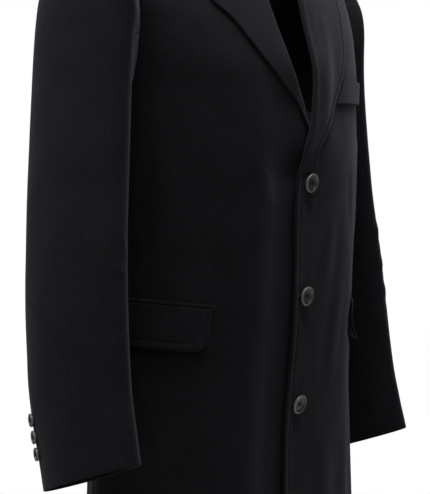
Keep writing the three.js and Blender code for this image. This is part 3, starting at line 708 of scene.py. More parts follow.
def thread_material():
    g = Graph("sewing_thread", Roughness=0.55, Sheen_Weight=0.1, Specular_IOR_Level=0.15)
    ply = g.wave(g.place(), 900, 2)
    dark, light = (0.004, 0.004, 0.0045), (0.013, 0.0125, 0.014)
    g.out("Base Color", g.ramp(ply, (0.2, dark), (0.8, light)))
    g.bump(ply, 0.4, 0.0001)
    return g.material


def lining_material():
    g = Graph("satin_lining", Roughness=0.36, Specular_IOR_Level=0.5, Sheen_Weight=0.1)
    slow = g.noise(g.uv("cloth"), 14, 4)
    g.out("Base Color", g.ramp(slow, (0.3, (0.03, 0.03, 0.031)), (0.7, (0.05, 0.05, 0.05))))
    g.bump(g.wave(g.uv("cloth"), 700, 1.5), 0.2, 0.0001)
    return g.material


def floor_material():
    g = Graph("studio_floor", Roughness=0.8)
    slow = g.noise(g.place(), 6, 3)
    g.out("Base Color", g.ramp(slow, (0.3, (0.79, 0.79, 0.79)), (0.7, (0.82, 0.82, 0.82))))
    return g.material


coating = coating_material()
lining = lining_material()
horn = horn_material()
thread = thread_material()


def keep(obj, slot, *nodes):
    """A finished piece: it rides on the one body and stands for CAD nodes."""
    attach(obj, "root")
    if nodes:
        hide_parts(*nodes)


# ---------- fronts and backs
def body_levels():
    """Levels of the rows, closer at the hem and by even steps of surface in the yoke."""
    skirt = np.linspace(HEM + 5, ARMPIT, 156)
    phi = np.linspace(0, math.pi / 2, 62)[1:-1]
    yoke = ARMPIT + (NECK - ARMPIT) * np.sin(phi) ** (2 / 2.6)
    ridge = [NECK - 0.28, NECK - 0.05, NECK - 0.008, NECK]
    rows = [HEM, HEM + 0.35, HEM + 1.1, HEM + 2.4, *skirt, *yoke[yoke < NECK - 0.4], *ridge]
    return np.array(rows, float)


def lay_rows(face, levels, start, end, count):
    """Angles, distances from the start edge, whole widths and levels, on each row of a panel."""
    rows = []
    for level, a, b in zip(levels, start, end):
        fine = np.linspace(a, b, 161)
        length = distances(body_point(face, fine, level))
        at = stations(length[-1], SEWN_EDGE, PLAIN_EDGE, count)
        rows.append((np.interp(at, length, fine), at, 0 * at + length[-1], 0 * at + level))
    return np.array(rows).transpose(1, 0, 2)


def part_seams(face, levels, outer, inner):
    """Parts a panel from the next at its side and shoulder seams, and tucks its inside past."""
    for grid, over in ((outer, 0), (inner, TUCK)):
        grid[levels <= ARMPIT, -1, 1] += face * (SEAM / 2 - over)
        grid[-1, :, 1] += face * (SEAM / 2 - over)


def button_calm(angle, level):
    """Creases fade out under the front buttons, so that these lie flat."""
    calm = 1.0
    for at in FRONT_BUTTON["levels"]:
        dx = (angle - angle_at(at, FRONT_BUTTON["x"])) * DEGREE
        calm = calm * (1 - np.exp(-((dx**2 + (level - at) ** 2) / 17**2)))
    return calm


def drags(across, level):
    """The pull of the front buttons on the cloth round them, longer and softer further down."""
    total = 0.0
    for i, at in enumerate(FRONT_BUTTON["levels"]):
        rows = [
            (a0, z0, a1 + 3 * i, z1 - 4 * i, width, height * (1 - 0.2 * i), bend)
            for a0, z0, a1, z1, width, height, bend in DRAGS
        ]
        total = total + creases(rows, across - FRONT_BUTTON["x"], level - at, 1)
    return total


def front_relief(side, angle, level):
    """Creases of a front at an angle counted towards its own side."""
    s = section(level)
    across = np.sign(angle) * s["half"] * np.abs(np.sin(np.radians(angle))) ** s["power"]
    rows = creases(FRONT_CREASES[side], angle, level, DEGREE)
    slow = drift(angle * DEGREE, level, 1 if side == LEFT else 2)
    if side == LEFT:
        return (rows + slow) * button_calm(angle, level) + drags(across, level)
    beside = np.exp(-(((across - TROUGH["at"]) / TROUGH["width"]) ** 2))
    trough = TROUGH["depth"] * np.where(across < TROUGH["at"], 1, beside)
    trough = trough * (1 - ease(level, TROUGH["low"], TROUGH["high"]))
    return (rows + slow) * ease(across, EDGE, EDGE + 45) - trough


def front(side, word):
    levels = body_levels()
    start = angle_at(levels, roll_x(side, levels))
    end = np.where(levels <= ARMPIT, seam_angle(levels), armhole_angle(FRONT, levels))
    angles, at, total, level = lay_rows(FRONT, levels, start, end, 62)
    down = from_last_row(on_front(side, angles, level))
    below = 1 - ease(level, BREAK - 6, BREAK + 22)
    seam = np.minimum(total - at, np.minimum(down, FAR))
    round_ = turned(np.minimum.reduce([at, total - at, level - HEM, down]), WALL)
    fade = ease(at, 0, 18) * ease(total - at, 0, 22) * ease(down, 0, 30)
    soft = front_relief(side, angles, level) * fade
    face = soft + swell(at) * below * ease(level, HEM, HEM + 3) - valley(seam)
    outer = on_front(side, angles, level, face - round_)
    inner = on_front(side, angles, level, soft - WALL + round_)
    part_seams(FRONT, levels, outer, inner)
    lined = (at > FACING) & (level > HEM + HEM_TURN)
    lined &= (down > LINING_IN) & (total - at > LINING_IN)
    wall("front", word, outer, inner, (at, level), lined)
    rows = (levels > HEM + 4) & (levels < BREAK - 4), STITCH_COLUMN
    sew("front_edge_stitches_" + word, outer[rows], grid_normals(outer)[rows] * side)


def back(side, word):
    levels = body_levels()
    is_open = (side == RIGHT) & (levels < VENT_TOP)
    middle = angle_at(levels, NECK_HALF * nape(levels))
    start = np.where(is_open, angle_at(levels, -VENT_UNDER + 0 * levels), middle)
    end = np.where(levels <= ARMPIT, 180 - seam_angle(levels), armhole_angle(BACK, levels))
    angles, at, total, level = lay_rows(BACK, levels, start, end, 54)
    base = body_point(BACK, side * angles, level)
    sunk = 0.0
    if side == RIGHT:
        fade = 1 - ease(level, VENT_TOP, VENT_TOP + VENT_SINK["fade"])
        sunk = fade * ease(base[..., 0], VENT_SINK["start"], VENT_SINK["end"]) * VENT_SINK["depth"]
    down = from_last_row(base)
    opened = 1 - ease(level, VENT_TOP - 4, VENT_TOP + 4)
    sewn = swell(at) * opened if side == LEFT else 0.0
    shut = (1 - opened) * (1 - ease(level, NAPE_LEVEL - 1, NAPE_LEVEL))
    seam = np.minimum(np.where(shut > 0.5, at, FAR), np.minimum(total - at, np.minimum(down, FAR)))
    round_ = turned(np.minimum.reduce([at, total - at, level - HEM, down]), WALL)
    soft = creases(BACK_CREASES[side], angles, level, DEGREE) + drift(angles * DEGREE, level, 4 + side)
    soft = soft * ease(at, 0, 30) * ease(total - at, 0, 24) * ease(down, 0, 40)
    outer = on_panel(side, BACK, side * angles, level, soft + sewn - valley(seam) - round_ - sunk)
    inner = on_panel(side, BACK, side * angles, level, soft - WALL + round_ - sunk)
    part_seams(BACK, levels, outer, inner)
    outer[~is_open, 0, 0] += side * SEAM / 2
    inner[~is_open, 0, 0] += side * (SEAM / 2 - TUCK)
    lined = (level > HEM + HEM_TURN) & ((at > HEM_TURN) | (level > VENT_TOP))
    lined &= (down > LINING_IN) & (total - at > LINING_IN)
    wall("back", word, outer, inner, (at, level), lined)
    if side == LEFT:
        rows = (levels > HEM + 4) & (levels < VENT_TOP - 6), STITCH_COLUMN
        sew("vent_stitches", outer[rows], -grid_normals(outer)[rows])


def sew(name, path, normals):
    """A row of machine stitches along a path on the cloth."""
    length, normals = distances(path), unit(normals)
    count = int(length[-1] // STITCH["pitch"])
    over = np.array(STITCH["over"])[:, None]

    def at_places(places, rows):
        return np.stack([np.interp(places, length, rows[:, k]) for k in range(3)], -1)

    runs = []
    for i in range(count):
        start = (i + 0.5) * length[-1] / count - STITCH["length"] / 2
        places = start + STITCH["length"] * np.array(STITCH["along"])
        runs.append(at_places(places, path) + unit(at_places(places, normals)) * over)
    threads(name, runs, STITCH["radius"] * np.array(STITCH["thick"]))


for side, word in SIDES:
    front(side, word)
    back(side, word)


# ---------- sleeves
INDEX_LENGTH = 17.0  # millimetres of sleeve to one column of the solid
FRONT_SEAM, BACK_SEAM, COLUMNS = 7, 18, 24  # columns of the two seams, and their number
COLUMN_STEP = 4.6  # millimetres between the columns of a sleeve's cloth


def ring_point(side, z, share):
    size = {c: read(SLEEVE, "z", z, c) for c in ("x", "y", "deep", "thick", "slant")}
    turn = share * 2 * math.pi
    backward = -size["deep"] * np.sin(turn)
    out = size["x"] + size["thick"] * np.cos(turn)
    return np.stack([side * out, size["y"] + backward, z - size["slant"] * backward], -1)


def armhole(side, q):
    """Points, normals and inward directions of the armhole at columns q of the solid."""
    q = np.mod(q, COLUMNS)
    index = np.abs(COLUMNS / 2 - q)
    rise = np.where(index < 1, 0.02 * index**2, read(YOKE, "index", index, "rise"))
    level = ARMPIT + rise * (NECK - ARMPIT)
    ahead = (q <= COLUMNS / 2)[..., None]

    def both(f):
        return np.where(ahead, f(FRONT), f(BACK))

    point = both(lambda face: on_panel(side, face, side * armhole_angle(face, level), level))
    normal = both(lambda face: body_normal(face, side * armhole_angle(face, level), level))
    return point, normal, rise


def sleeve_surface(side, q, cap_rows, levels):
    point, normal, rise = armhole(side, q)
    after, before = armhole(side, q + 0.4)[0], armhole(side, q - 0.4)[0]
    into = unit(np.cross(after - before, normal) * -side)
    turn = np.radians(read(CAP, "rise", rise, "turn"))[..., None]
    leave = into * np.cos(turn) + normal * np.sin(turn)
    start = point + into * SEAM + normal * 0.15
    share = q / COLUMNS
    top = SLEEVE["z"][-1]
    end, below = ring_point(side, top, share), ring_point(side, top - 30, share)
    p1 = start + leave * read(CAP, "rise", rise, "start")[..., None]
    p2 = end + unit(end - below) * read(CAP, "rise", rise, "end")[..., None]
    rows = []
    for t in cap_rows:
        s = 1 - t
        rows.append(start * s**3 + 3 * p1 * s * s * t + 3 * p2 * s * t * t + end * t**3)
    rows += [ring_point(side, z, share) for z in levels]
    return np.array(rows)


def sleeve(side, word, kind, first, last):
    seam = SEAM / 2 / INDEX_LENGTH
    near = np.array(PLAIN_EDGE) / INDEX_LENGTH
    a, b = first + seam, last - seam
    between = np.linspace(a + near[-1], b - near[-1], int((b - a) * INDEX_LENGTH / COLUMN_STEP))[1:-1]
    q = np.concatenate([[a - 0.25], a + near, between, b - near[::-1], [b + 0.25]])
    cap_rows = np.concatenate([[0, 0.003, 0.01, 0.024, 0.045], np.linspace(0.07, 1, 36)])
    cuff = SLEEVE["z"][0]
    levels = np.concatenate([np.linspace(-284, cuff + 5, 92), cuff + np.array([2.4, 1.1, 0.35, 0])])
    grid = sleeve_surface(side, q, cap_rows, levels)
    normals = grid_normals(grid)[:, 1:-1] * side
    grid, q = grid[:, 1:-1], q[1:-1]
    at = np.broadcast_to((q - a) * INDEX_LENGTH, grid.shape[:2])
    total = (b - a) * INDEX_LENGTH
    top = column_distances(grid)
    bottom = top[-1:] - top
    degrees = np.where(q > COLUMNS / 2 + 6, q - COLUMNS, q) * 360 / COLUMNS
    degrees = np.broadcast_to(degrees, grid.shape[:2])
    z = grid[..., 2]
    wraps = [creases(SLEEVE_CREASES[side], degrees + k, z, SLEEVE_DEGREE) for k in (0, 360)]
    soft = sum(wraps) + 0.8 * drift(at + 40 * first, z, 7 + side + first)
    edge = np.minimum(at, total - at)
    soft = soft * ease(edge, 0, 22) * ease(top, 0, 45) * ease(bottom, 0, 40)
    round_ = np.maximum(turned(np.minimum(bottom, top), WALL), SLEEVE_SEAM * turned(edge, WALL))
    groove = np.maximum(valley(np.minimum(top, FAR)), SLEEVE_SEAM * valley(edge))
    outer = grid + normals * (soft - round_ - groove)[..., None]
    inner = grid + normals * (soft + round_ - WALL)[..., None]
    inner[0] += unit(inner[0] - inner[1]) * SEAM_REACH
    for row, beside in ((0, 1), (-1, -2)):
        inner[:, row] += unit(inner[:, row] - inner[:, beside]) * TUCK
    lined = (bottom > HEM_TURN) & (top > LINING_IN) & (edge > LINING_IN)
    wall("sleeve_" + kind, word, outer, inner, (at, z), lined)


for side, word in SIDES:
    sleeve(side, word, "upper", BACK_SEAM - COLUMNS, FRONT_SEAM)
    sleeve(side, word, "under", FRONT_SEAM, BACK_SEAM)


# ---------- lapels
def thick_piece(kind, word, grid, edges, relief, u, v, thickness=DOUBLED):
    """A doubled piece on both sides of its middle surface."""
    normals = grid_normals(grid)
    half = thickness / 2 - turned(edges, thickness)
    outer = grid + normals * (half + relief)[..., None]
    inner = grid - normals * half[..., None]
    wall(kind, word, outer, inner, (u, v))
    return outer, normals


def lapel(side, word):
    base = BREAK - (LAPEL_TAIL if side == LEFT else 0)
    levels = np.concatenate(
        [[base, base + 0.6, base + 1.6], np.linspace(base + 4, GORGE - 5, 88),
         GORGE - np.array([2.6, 1.2, 0.4, 0])]
    )
    opened = ease(levels, base, base + LAPEL_OPENS)
    radius = mix(LAPEL_START["radius"], FOLD_RADIUS, opened)
    thickness = mix(LAPEL_START["thick"], DOUBLED, opened)
    roll = angle_at(levels, roll_x(side, levels))
    start = on_front(side, roll, levels)

    def roll_point(level):
        return on_front(side, angle_at(level, roll_x(side, level)), level)

    along = roll_point(levels + 4) - roll_point(levels - 4)
    normal = body_normal(FRONT, side * roll, levels)
    outward = unit(np.cross(normal, along) * -side)

    def beside(inward, out):
        return start - outward * inward[:, None] + normal * (out - thickness / 2)[:, None]

    arc = [beside(SEAM + 0 * levels, 0 * levels)]
    for t in np.linspace(0, 1, 13):
        turn = math.pi * (t - 0.5)
        arc.append(beside(opened + radius * math.cos(turn), radius * (1 + math.sin(turn))))
    up = (levels - base) / (GORGE - base)
    edge_level = mix(base - 1, LAPEL["level"][-1], up)
    edge_x = read(LAPEL, "level", edge_level, word)
    u = np.linspace(0.06, 1, 70)[None, :]
    level = mix(levels[:, None], edge_level[:, None], u)
    angle = angle_at(level, mix(roll_x(side, levels)[:, None], edge_x[:, None], u))
    fold = 2 * radius - thickness / 2
    rest = thickness / 2 + mix(LAPEL_START["rest"], 1, opened)
    flat = on_front(side, angle, level, mix(fold[:, None], rest[:, None], ease(u, 0, 1)))
    strip = np.concatenate([np.stack(arc, 1), flat], 1)
    grid, at = resample(strip, PLAIN_EDGE[:3], SEWN_EDGE, 40)
    total = at[:, -1:]
    away = total - at
    top = from_last_row(grid)
    bottom = column_distances(grid)
    free = ease(at / total, 0.5, 0.62)
    wide = ease(total, 14, 30)
    relief = LAPEL_SWELL[side] * swell(away) * wide + swell(top) * free * ease(away, 0, 9) * 1.3
    relief = relief * opened[:, None]
    relief = relief + 0.35 * drift(at, level[:, :1], 11 + side) * ease(away, 6, 30) * ease(at, 6, 25)
    bands = creases(LAPEL_CREASES[side], at, levels[:, None], 1)
    relief = relief + bands * ease(away, 4, 16) * ease(at, 2, 14)
    relief = relief - valley(np.where(free < 0.5, top, FAR)) * 0.8
    edges = np.minimum.reduce([at, away, top, bottom])
    v = levels[:, None] + 0 * at
    return thick_piece("lapel", word, grid, edges, relief, at, v, thickness[:, None])


lapels = {word: lapel(side, word) for side, word in SIDES}


# ---------- collar
RIDGE = float(section(NECK)["side"])  # how far back the shoulder ridge lies


def solve(f, low, high, target):
    """Where a rising or falling function reaches a target, between two values."""
    rising = f(high) > f(low)
    for _ in range(36):
        middle = (low + high) / 2
        under = (f(middle) < target) == rising
        low, high = np.where(under, middle, low), np.where(under, high, middle)
    return (low + high) / 2


def yoke_place(y, x=None):
    """A place on the yoke a given distance back, at x or else on the neckline."""
    face = np.where(y < RIDGE, FRONT, BACK)

    def across(level):
        if x is not None:
            return x
        return np.where(face == FRONT, read(ROLL, "level", level, "left"), NECK_HALF * nape(level))

    def back_at(level):
        return body_point(face, angle_at(level, across(level)), level)[..., 1]

    low = np.where((face == FRONT) | (x is not None), ARMPIT, NAPE_LEVEL) + 0.0 * y
    level = solve(back_at, low, NECK + 0.0 * y, y)
    return face, angle_at(level, across(level)), level


def raised(place, out, upright):
    up = np.asarray(upright)[..., None]
    direction = body_normal(*place) * (1 - up) + np.array([0, 0, 1.0]) * up
    return body_point(*place) + unit(direction) * np.asarray(out)[..., None]


def collar_rows(at):
    c = {k: read(COLLAR, "at", at, k) for k in COLLAR if k != "at"}
    upright = c["upright"]
    place = yoke_place(c["foot"])
    foot = raised(place, 0 * at, 0 * at)
    top = raised(place, 0 * at + 1, upright) - foot
    outward = raised(yoke_place(c["y"], c["x"]), 0 * at, 0 * at) - foot
    outward = unit(outward - top * (outward * top).sum(-1, keepdims=True))
    low = 0.7 + (1 - upright) * (DOUBLED / 2)
    bend = np.maximum(c["rise"] - FOLD_RADIUS, low + 0.8)

    def beside(out, up):
        return foot + top * np.asarray(up)[..., None] + outward * np.asarray(out - 0.5)[..., None]

    rows = [beside(-FOLD_RADIUS * (1 - upright), mix(low, bend, t)) for t in np.linspace(0, 0.9, 10)]
    for t in np.linspace(0, 1, 13):
        turn = math.pi * t
        out = FOLD_RADIUS * (upright - math.cos(turn))
        rows.append(beside(out, bend + FOLD_RADIUS * math.sin(turn)))
    start = body_point(*place)[..., 0]
    for u in np.linspace(0.25, 1, 40):
        y = mix(c["foot"], c["y"], u) - c["bow"] * 4 * u * (1 - u)
        spot = yoke_place(y, mix(start, c["x"], u))
        rows.append(raised(spot, mix(bend, DOUBLED / 2 + 1.4, u), upright * (1 - u)))
    return np.stack(rows, 1)


def collar():
    at = np.concatenate([np.linspace(0, 0.985, 96), [0.992, 0.9965, 0.999, 1]])
    half = collar_rows(at)
    mirrored = (half * np.array([-1, 1, 1]))[:0:-1]
    strip = np.concatenate([mirrored, half])
    grid, place = resample(strip, PLAIN_EDGE, SEWN_EDGE, 30)
    for _ in range(3):  # eases the bend between the crease and the fall
        middle = (grid[:, :-2] + 2 * grid[:, 1:-1] + grid[:, 2:]) / 4
        grid[:, 4:-16] = middle[:, 3:-15]
    total = place[:, -1:]
    away = total - place
    along = column_distances(grid)
    ends = np.minimum(along, along[-1:] - along)
    relief = swell(away) * ease(ends, 1, 5) - valley(ends) * 0.7
    relief = relief + 0.45 * drift(place, along, 15) * ease(away, 8, 30) * ease(ends, 10, 50)
    edges = np.minimum.reduce([place, away, ends])
    outer, normals = thick_piece("collar", "", grid, edges, relief, place, along)
    k = grid.shape[1] - 1 - STITCH_COLUMN
    sew("collar_stitches", outer[4:-4, k], normals[4:-4, k])


collar()

# ---------- pockets
def walk_back(level, x, distance):
    """The angle on a front at a distance back from x, along the surface."""
    angle, level = angle_at(level, x), np.asarray(level, float)
    steps = np.arange(-24, 130) * 0.5
    length = distances(body_point(FRONT, angle[..., None] + steps, level[..., None]))
    length = length - length[..., 24:25]
    result = np.empty(level.shape)
    for i in np.ndindex(level.shape):
        result[i] = np.interp(distance[i], length[i], angle[i] + steps)
    return result


def flap_place(along, drop):
    level = FLAP["level"] + FLAP["climb"] * along - drop
    lean = FLAP["lean"] * drop * (1 - along / FLAP["length"])
    return walk_back(level, FLAP["front"], along + lean), level


def lay_on_front(kind, word, side, angle, level, low, high, uv):
    """A wall that lies on a front, between two heights over it."""
    outer, inner = on_front(side, angle, level, high), on_front(side, angle, level, low)
    wall(kind, word, outer, inner, uv)


def flap(side, word):
    length, height, corner = FLAP["length"], FLAP["height"], FLAP["corner"]
    stops = stations(length, FLAP_EDGE, FLAP_EDGE, 30)
    along, down = np.meshgrid(stops, stations(height, PLAIN_EDGE, SEWN_EDGE, 8) / height)
    near = np.minimum(along, length - along)
    reach = np.maximum(corner - near, 0)
    cut = corner - np.sqrt(np.maximum(corner**2 - reach**2, 0))
    drop = down * (height - np.where(near < corner, cut, 0))
    qx = np.abs(along - length / 2) - (length / 2 - corner)
    qy = drop - (height - corner)
    inside = corner - np.hypot(np.maximum(qx, 0), np.maximum(qy, 0))
    inside = np.maximum(inside - np.minimum(np.maximum(qx, qy), 0), 0)

    def height_over(along, share, angle, level):
        bow = 0.6 * np.sin(along / length * 9 + side)
        return 1 + (FLAP_LIFT[side] + bow) * share + front_relief(side, angle, level)

    angle, level = flap_place(along, drop)
    low = height_over(along, down, angle, level)
    round_ = turned(np.minimum(inside, drop), DOUBLED)
    relief = swell(inside) + 0.3 * drift(along, drop * 2, 21 + side) * down
    high = low + DOUBLED + relief - round_
    lay_on_front("flap", word, side, angle, level, low + round_, high, (along, level))

    radius = corner - STITCH_IN
    half = [(STITCH_IN, d) for d in np.linspace(2, height - corner, 12)]
    for turn in np.linspace(0, math.pi / 2, 12)[1:]:
        half.append((corner - radius * math.cos(turn), height - corner + radius * math.sin(turn)))
    lower = [(a, height - STITCH_IN) for a in np.linspace(corner, length - corner, 30)[1:-1]]
    a, d = np.array(half + lower + [(length - a, d) for a, d in half[::-1]]).T
    angle, level = flap_place(a, d)
    over = height_over(a, d / height, angle, level) + DOUBLED - GROOVE
    points = on_front(side, angle, level, over)
    sew("flap_stitches_" + word, points, body_normal(FRONT, side * angle, level))


def jet(side, word):
    over, length = JET["over"], FLAP["length"]
    stops = stations(length + 2 * over, PLAIN_EDGE, PLAIN_EDGE, 50) - over
    along, down = np.meshgrid(stops, (0, 0.05, 0.15, 0.3, 0.5, 0.7, 0.85, 0.95, 1))
    level = FLAP["level"] + SEAM + JET["height"] * (1 - down) + FLAP["climb"] * along
    angle = walk_back(level, FLAP["front"], along)
    edge = np.minimum(down, 1 - down) * JET["height"]
    edge = np.minimum(edge, np.minimum(along + over, length + over - along))
    round_ = turned(edge, WALL + 1.2) * 0.68
    low = front_relief(side, angle, level) + 0.6
    lay_on_front("jet", word, side, angle, level, low, low + WALL - round_, (along, level))


def welt():
    width, height = BREAST["width"], BREAST["height"]
    stops = stations(width, WELT_EDGE, WELT_EDGE, 24) / width
    along, down = np.meshgrid(stops, stations(height, PLAIN_EDGE, PLAIN_EDGE, 7) / height)
    level = BREAST["level"] - height * (down + BREAST["climb"] * (1 - along))
    x = mix(read(LAPEL, "level", level, "left") + BREAST["clear"], BREAST["outer"], along)
    angle = angle_at(level, x)
    sides = np.minimum(along, 1 - along) * width
    depth = np.minimum(down, 1 - down) * height
    round_ = turned(np.minimum(sides, depth), DOUBLED)
    groove = 0.4 * np.exp(-(((sides - 2.2) / 0.7) ** 2))
    low = front_relief(LEFT, angle, level) + 0.8
    high = low + DOUBLED - round_ - groove
    uv = (along * width, level)
    lay_on_front("breast_welt", "", LEFT, angle, level, low + round_, high, uv)


for side, word in SIDES:
    flap(side, word)
    jet(side, word)
welt()

# ---------- stitches of the lapels
for side, word in SIDES:
    outer, normals = lapels[word]
    k = outer.shape[1] - 1 - STITCH_COLUMN
    left = column_distances(outer)[:, k]
    rows = (left[-1] - left > STITCH_IN - 1) & (np.arange(len(outer)) > 9)
    sew("lapel_stitches_" + word, outer[rows, k], normals[rows, k])

# ---------- buttons
def button_mesh(size):
    """A turned button with a raised rim, a dished middle and four sewing holes."""
    radius, thick, hole, segments = (size[k] for k in ("radius", "thick", "hole", "segments"))
    profile = BUTTON_SECTION
    for _ in range(2):  # cuts its corners off
        p = np.array(profile)
        cut = np.stack([p[:-1] * 0.75 + p[1:] * 0.25, p[:-1] * 0.25 + p[1:] * 0.75], 1)
        profile = np.concatenate([p[:1], cut.reshape(-1, 2), p[-1:]])
    mesh = bmesh.new()
    rings = []
    turns = [2 * math.pi * k / segments for k in range(segments)]
    for r, z in profile * (radius, thick):
        ring = turns if r > 1e-6 else turns[:1]
        rings.append([mesh.verts.new((r * math.cos(t), r * math.sin(t), z)) for t in ring])
    for low, high in zip(rings, rings[1:]):
        for k in range(segments):
            n = (k + 1) % segments
            corners = [low[k % len(low)], low[n % len(low)], high[n % len(high)], high[k % len(high)]]
            mesh.faces.new(list(dict.fromkeys(corners)))
    bmesh.ops.recalc_face_normals(mesh, faces=mesh.faces)
    drill = bmesh.new()
    for x, y in ((-1, -1), (-1, 1), (1, -1), (1, 1)):
        place = Matrix.Translation((x * size["spread"], y * size["spread"], thick * 0.4))
        bmesh.ops.create_cone(
            drill, cap_ends=True, segments=20, radius1=hole, radius2=hole, depth=thick * 3,
            matrix=place,
        )
    made = []
    for name, solid in (("button", mesh), ("drill", drill)):
        data = bpy.data.meshes.new(name)
        solid.to_mesh(data)
        solid.free()
        made.append(link(data, name))
    body, cutter = made
    cut = body.modifiers.new("holes", "BOOLEAN")
    cut.operation, cut.solver, cut.object = "DIFFERENCE", "EXACT", cutter
    bpy.context.view_layer.update()
    result = bpy.data.meshes.new_from_object(body.evaluated_get(bpy.context.evaluated_depsgraph_get()))
    for obj in made:
        bpy.data.objects.remove(obj)
    layer = result.uv_layers.new(name="turned")
    for loop, data in zip(result.loops, layer.data):
        p = result.vertices[loop.vertex_index].co
        data.uv = (math.hypot(p.x, p.y) / radius, p.z / thick)
    result.transform(Matrix.Scale(0.001, 4))
    result.materials.clear()
    result.materials.append(horn)
    result.shade_smooth()
    result.set_sharp_from_angle(angle=math.radians(50))
    return result


def thread_runs(size):
    """Thread through the four holes, in two bars."""
    strands, spread = size["strands"], size["spread"]
    runs = []
    for side in (-1, 1):
        for off in np.arange(strands) - (strands - 1) / 2:
            rise = 0.75 - 0.16 * abs(off)
            y = spread * np.array([-1.02, -1.0, -0.9, -0.5, 0, 0.5, 0.9, 1.0, 1.02])
            z = np.array([-1.6, -0.4, 0.25, rise * 0.9, rise, rise * 0.9, 0.25, -0.4, -1.6])
            x = side * spread + off * 0.52 + 0 * y
            runs.append(np.stack([x, y, z + size["thick"] * DISH], -1))
    return runs


def place_button(node, size, mesh, point, normal, nod=0):
    """nod is how many degrees the button hangs forward on its thread."""
    straight = Vector(normal)
    side = Vector((0, 0, 1)).cross(straight).normalized()
    normal = Matrix.Rotation(math.radians(nod), 3, side) @ straight
    point = Vector(point) + straight * nod * NOD_LIFT
    turn = Vector((0, 0, 1)).rotation_difference(normal)
    upright = turn.inverted() @ Vector((0, 0, 1))
    spin = math.atan2(upright.y, upright.x) - math.pi / 2
    place = Matrix.Translation(point / 1000) @ turn.to_matrix().to_4x4()
    place = place @ Matrix.Rotation(spin, 4, "Z")
    data = mesh.copy()
    data.transform(place)
    keep(link(data, "coat_" + node), "button_horn", node)
    runs = [np.array([place @ Vector(p / 1000) for p in run]) * 1000 for run in thread_runs(size)]
    threads("coat_" + node + "_thread", runs, [STITCH["radius"]] * 9)


front_button, cuff_button = button_mesh(FRONT_BUTTON), button_mesh(CUFF_BUTTON)
for i, level in enumerate(FRONT_BUTTON["levels"]):
    angle = angle_at(level, FRONT_BUTTON["x"])
    normal = body_normal(FRONT, angle, level)
    point = on_front(LEFT, angle, level, 0.5)
    node = "front_button_%d" % (i + 1)
    place_button(node, FRONT_BUTTON, front_button, point, normal, FRONT_BUTTON["nods"][i])

for side, word in SIDES:
    share = 1 - CUFF_BUTTON["angle"] / 360
    for i in range(CUFF_BUTTON["count"]):
        z = SLEEVE["z"][0] + CUFF_BUTTON["first"] + i * CUFF_BUTTON["pitch"]
        across = ring_point(side, z, share + 0.02) - ring_point(side, z, share - 0.02)
        up = ring_point(side, z + 5, share) - ring_point(side, z - 5, share)
        normal = unit(np.cross(across, up) * -side)
        point = ring_point(side, z, share) + normal * 0.6
        node = "cuff_button_%s_%d" % (word, i + 1)
        place_button(node, CUFF_BUTTON, cuff_button, point, normal)


# ---------- buttonholes
def buttonhole(name, x, level):
    """Worked stitches round a slit across the front."""
    start, end, slit, depth, pitch = BUTTONHOLE.values()
    path = []
    for a in np.arange(start, end, pitch):
        path += [(a, slit, a, depth), (a, -slit, a, -depth)]
    for turn in np.radians(np.linspace(-80, 80, 9)):
        c, s = math.cos(turn), math.sin(turn)
        path.append((end + slit * c, slit * s, end + depth * c, depth * s))
        path.append((start - slit * c, slit * s, start - depth * c, depth * s))
    t = np.array([0, 0.12, 0.35, 0.65, 0.88, 1])
    over = np.array([-0.3, 0.3, 0.5, 0.42, 0.15, -0.35])
    runs = []
    for a0, b0, a1, b1 in path:
        across, up = x + mix(a0, a1, t), level + mix(b0, b1, t)
        angle = angle_at(up, across)
        runs.append(on_front(LEFT, angle, up, front_relief(LEFT, angle, up) + over))
    threads(name, runs, [0.3, 0.42, 0.4, 0.36, 0.33, 0.25])


for i, level in enumerate(FRONT_BUTTON["levels"]):
    buttonhole("buttonhole_%d" % (i + 1), FRONT_BUTTON["x"], level)


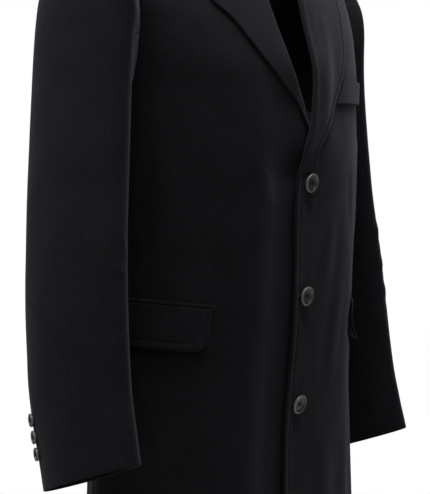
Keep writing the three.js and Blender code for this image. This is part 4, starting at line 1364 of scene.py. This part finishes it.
# ---------- camera, light, floor
TURN = math.radians(52)  # the camera stands this far round towards the wearer's right
DISTANCE = 2.5  # metres from the coat's axis
EYE = -0.426  # its height, in metres
ASIDE = 0.0147  # how far it stands to its left
LENS = 136.6
AMBIENT = 0.12  # even light on the cloth, beside the white that the eye sees
LIGHTS = (  # name, place beside the camera, target, size, watts
    ("left_near", (-1.2, -0.8, 1.1), (0, 0, -0.3), (1.0, 1.0), 28),
    ("overhead", (0.1, -0.2, 1.3), (0, 0, -0.4), (1.2, 1.2), 38),
    ("front_overhead", (0.2, -1.6, 1.6), (0, 0, -0.3), (1.5, 1.5), 22),
    ("right_rim", (1.0, 2.3, 0.5), (0, 0, -0.4), (1.0, 1.8), 12),
)


def aim(obj, target):
    obj.rotation_euler = (Vector(target) - obj.location).to_track_quat("-Z", "Y").to_euler()


def place_new(name, data, place, target):
    obj = link(data, name)
    obj.location = place
    aim(obj, target)
    return obj


right = Vector((math.cos(TURN), -math.sin(TURN), 0))
ahead = Vector((math.sin(TURN), math.cos(TURN), 0))
camera = bpy.data.cameras.new("camera")
camera.sensor_fit = "VERTICAL"
camera.sensor_height = 36
camera.lens = LENS
place = Vector((0, 0, EYE)) - ahead * DISTANCE - right * ASIDE
bpy.context.scene.camera = place_new("camera", camera, place, place + ahead)


def softbox(name, place, target, size, power):
    """An area light. place is metres to the camera's right, ahead of it and up."""
    light = bpy.data.lights.new(name, "AREA")
    light.shape = "RECTANGLE"
    light.size, light.size_y = size
    light.energy = power
    to_right, forward, up = place
    place_new(name, light, right * to_right + ahead * forward + Vector((0, 0, up)), target)


for light in LIGHTS:
    softbox(*light)

# White all round for the eye, and a weak even light for the cloth.
world = bpy.data.worlds.new("studio")
world.use_nodes = True
nodes, links = world.node_tree.nodes, world.node_tree.links
background = nodes["Background"]
background.inputs["Color"].default_value = (1, 1, 1, 1)
path = nodes.new("ShaderNodeLightPath")
strength = nodes.new("ShaderNodeMapRange")
strength.inputs["To Min"].default_value = AMBIENT
strength.inputs["To Max"].default_value = 1.0
links.new(path.outputs["Is Camera Ray"], strength.inputs["Value"])
links.new(strength.outputs["Result"], background.inputs["Strength"])
bpy.context.scene.world = world
bpy.context.scene.view_settings.view_transform = "Standard"

bpy.ops.mesh.primitive_circle_add(vertices=96, radius=5, fill_type="NGON", location=(0, 0, -1.5))
floor = bpy.context.object
floor.name = "studio_floor"
floor.data.materials.append(floor_material())
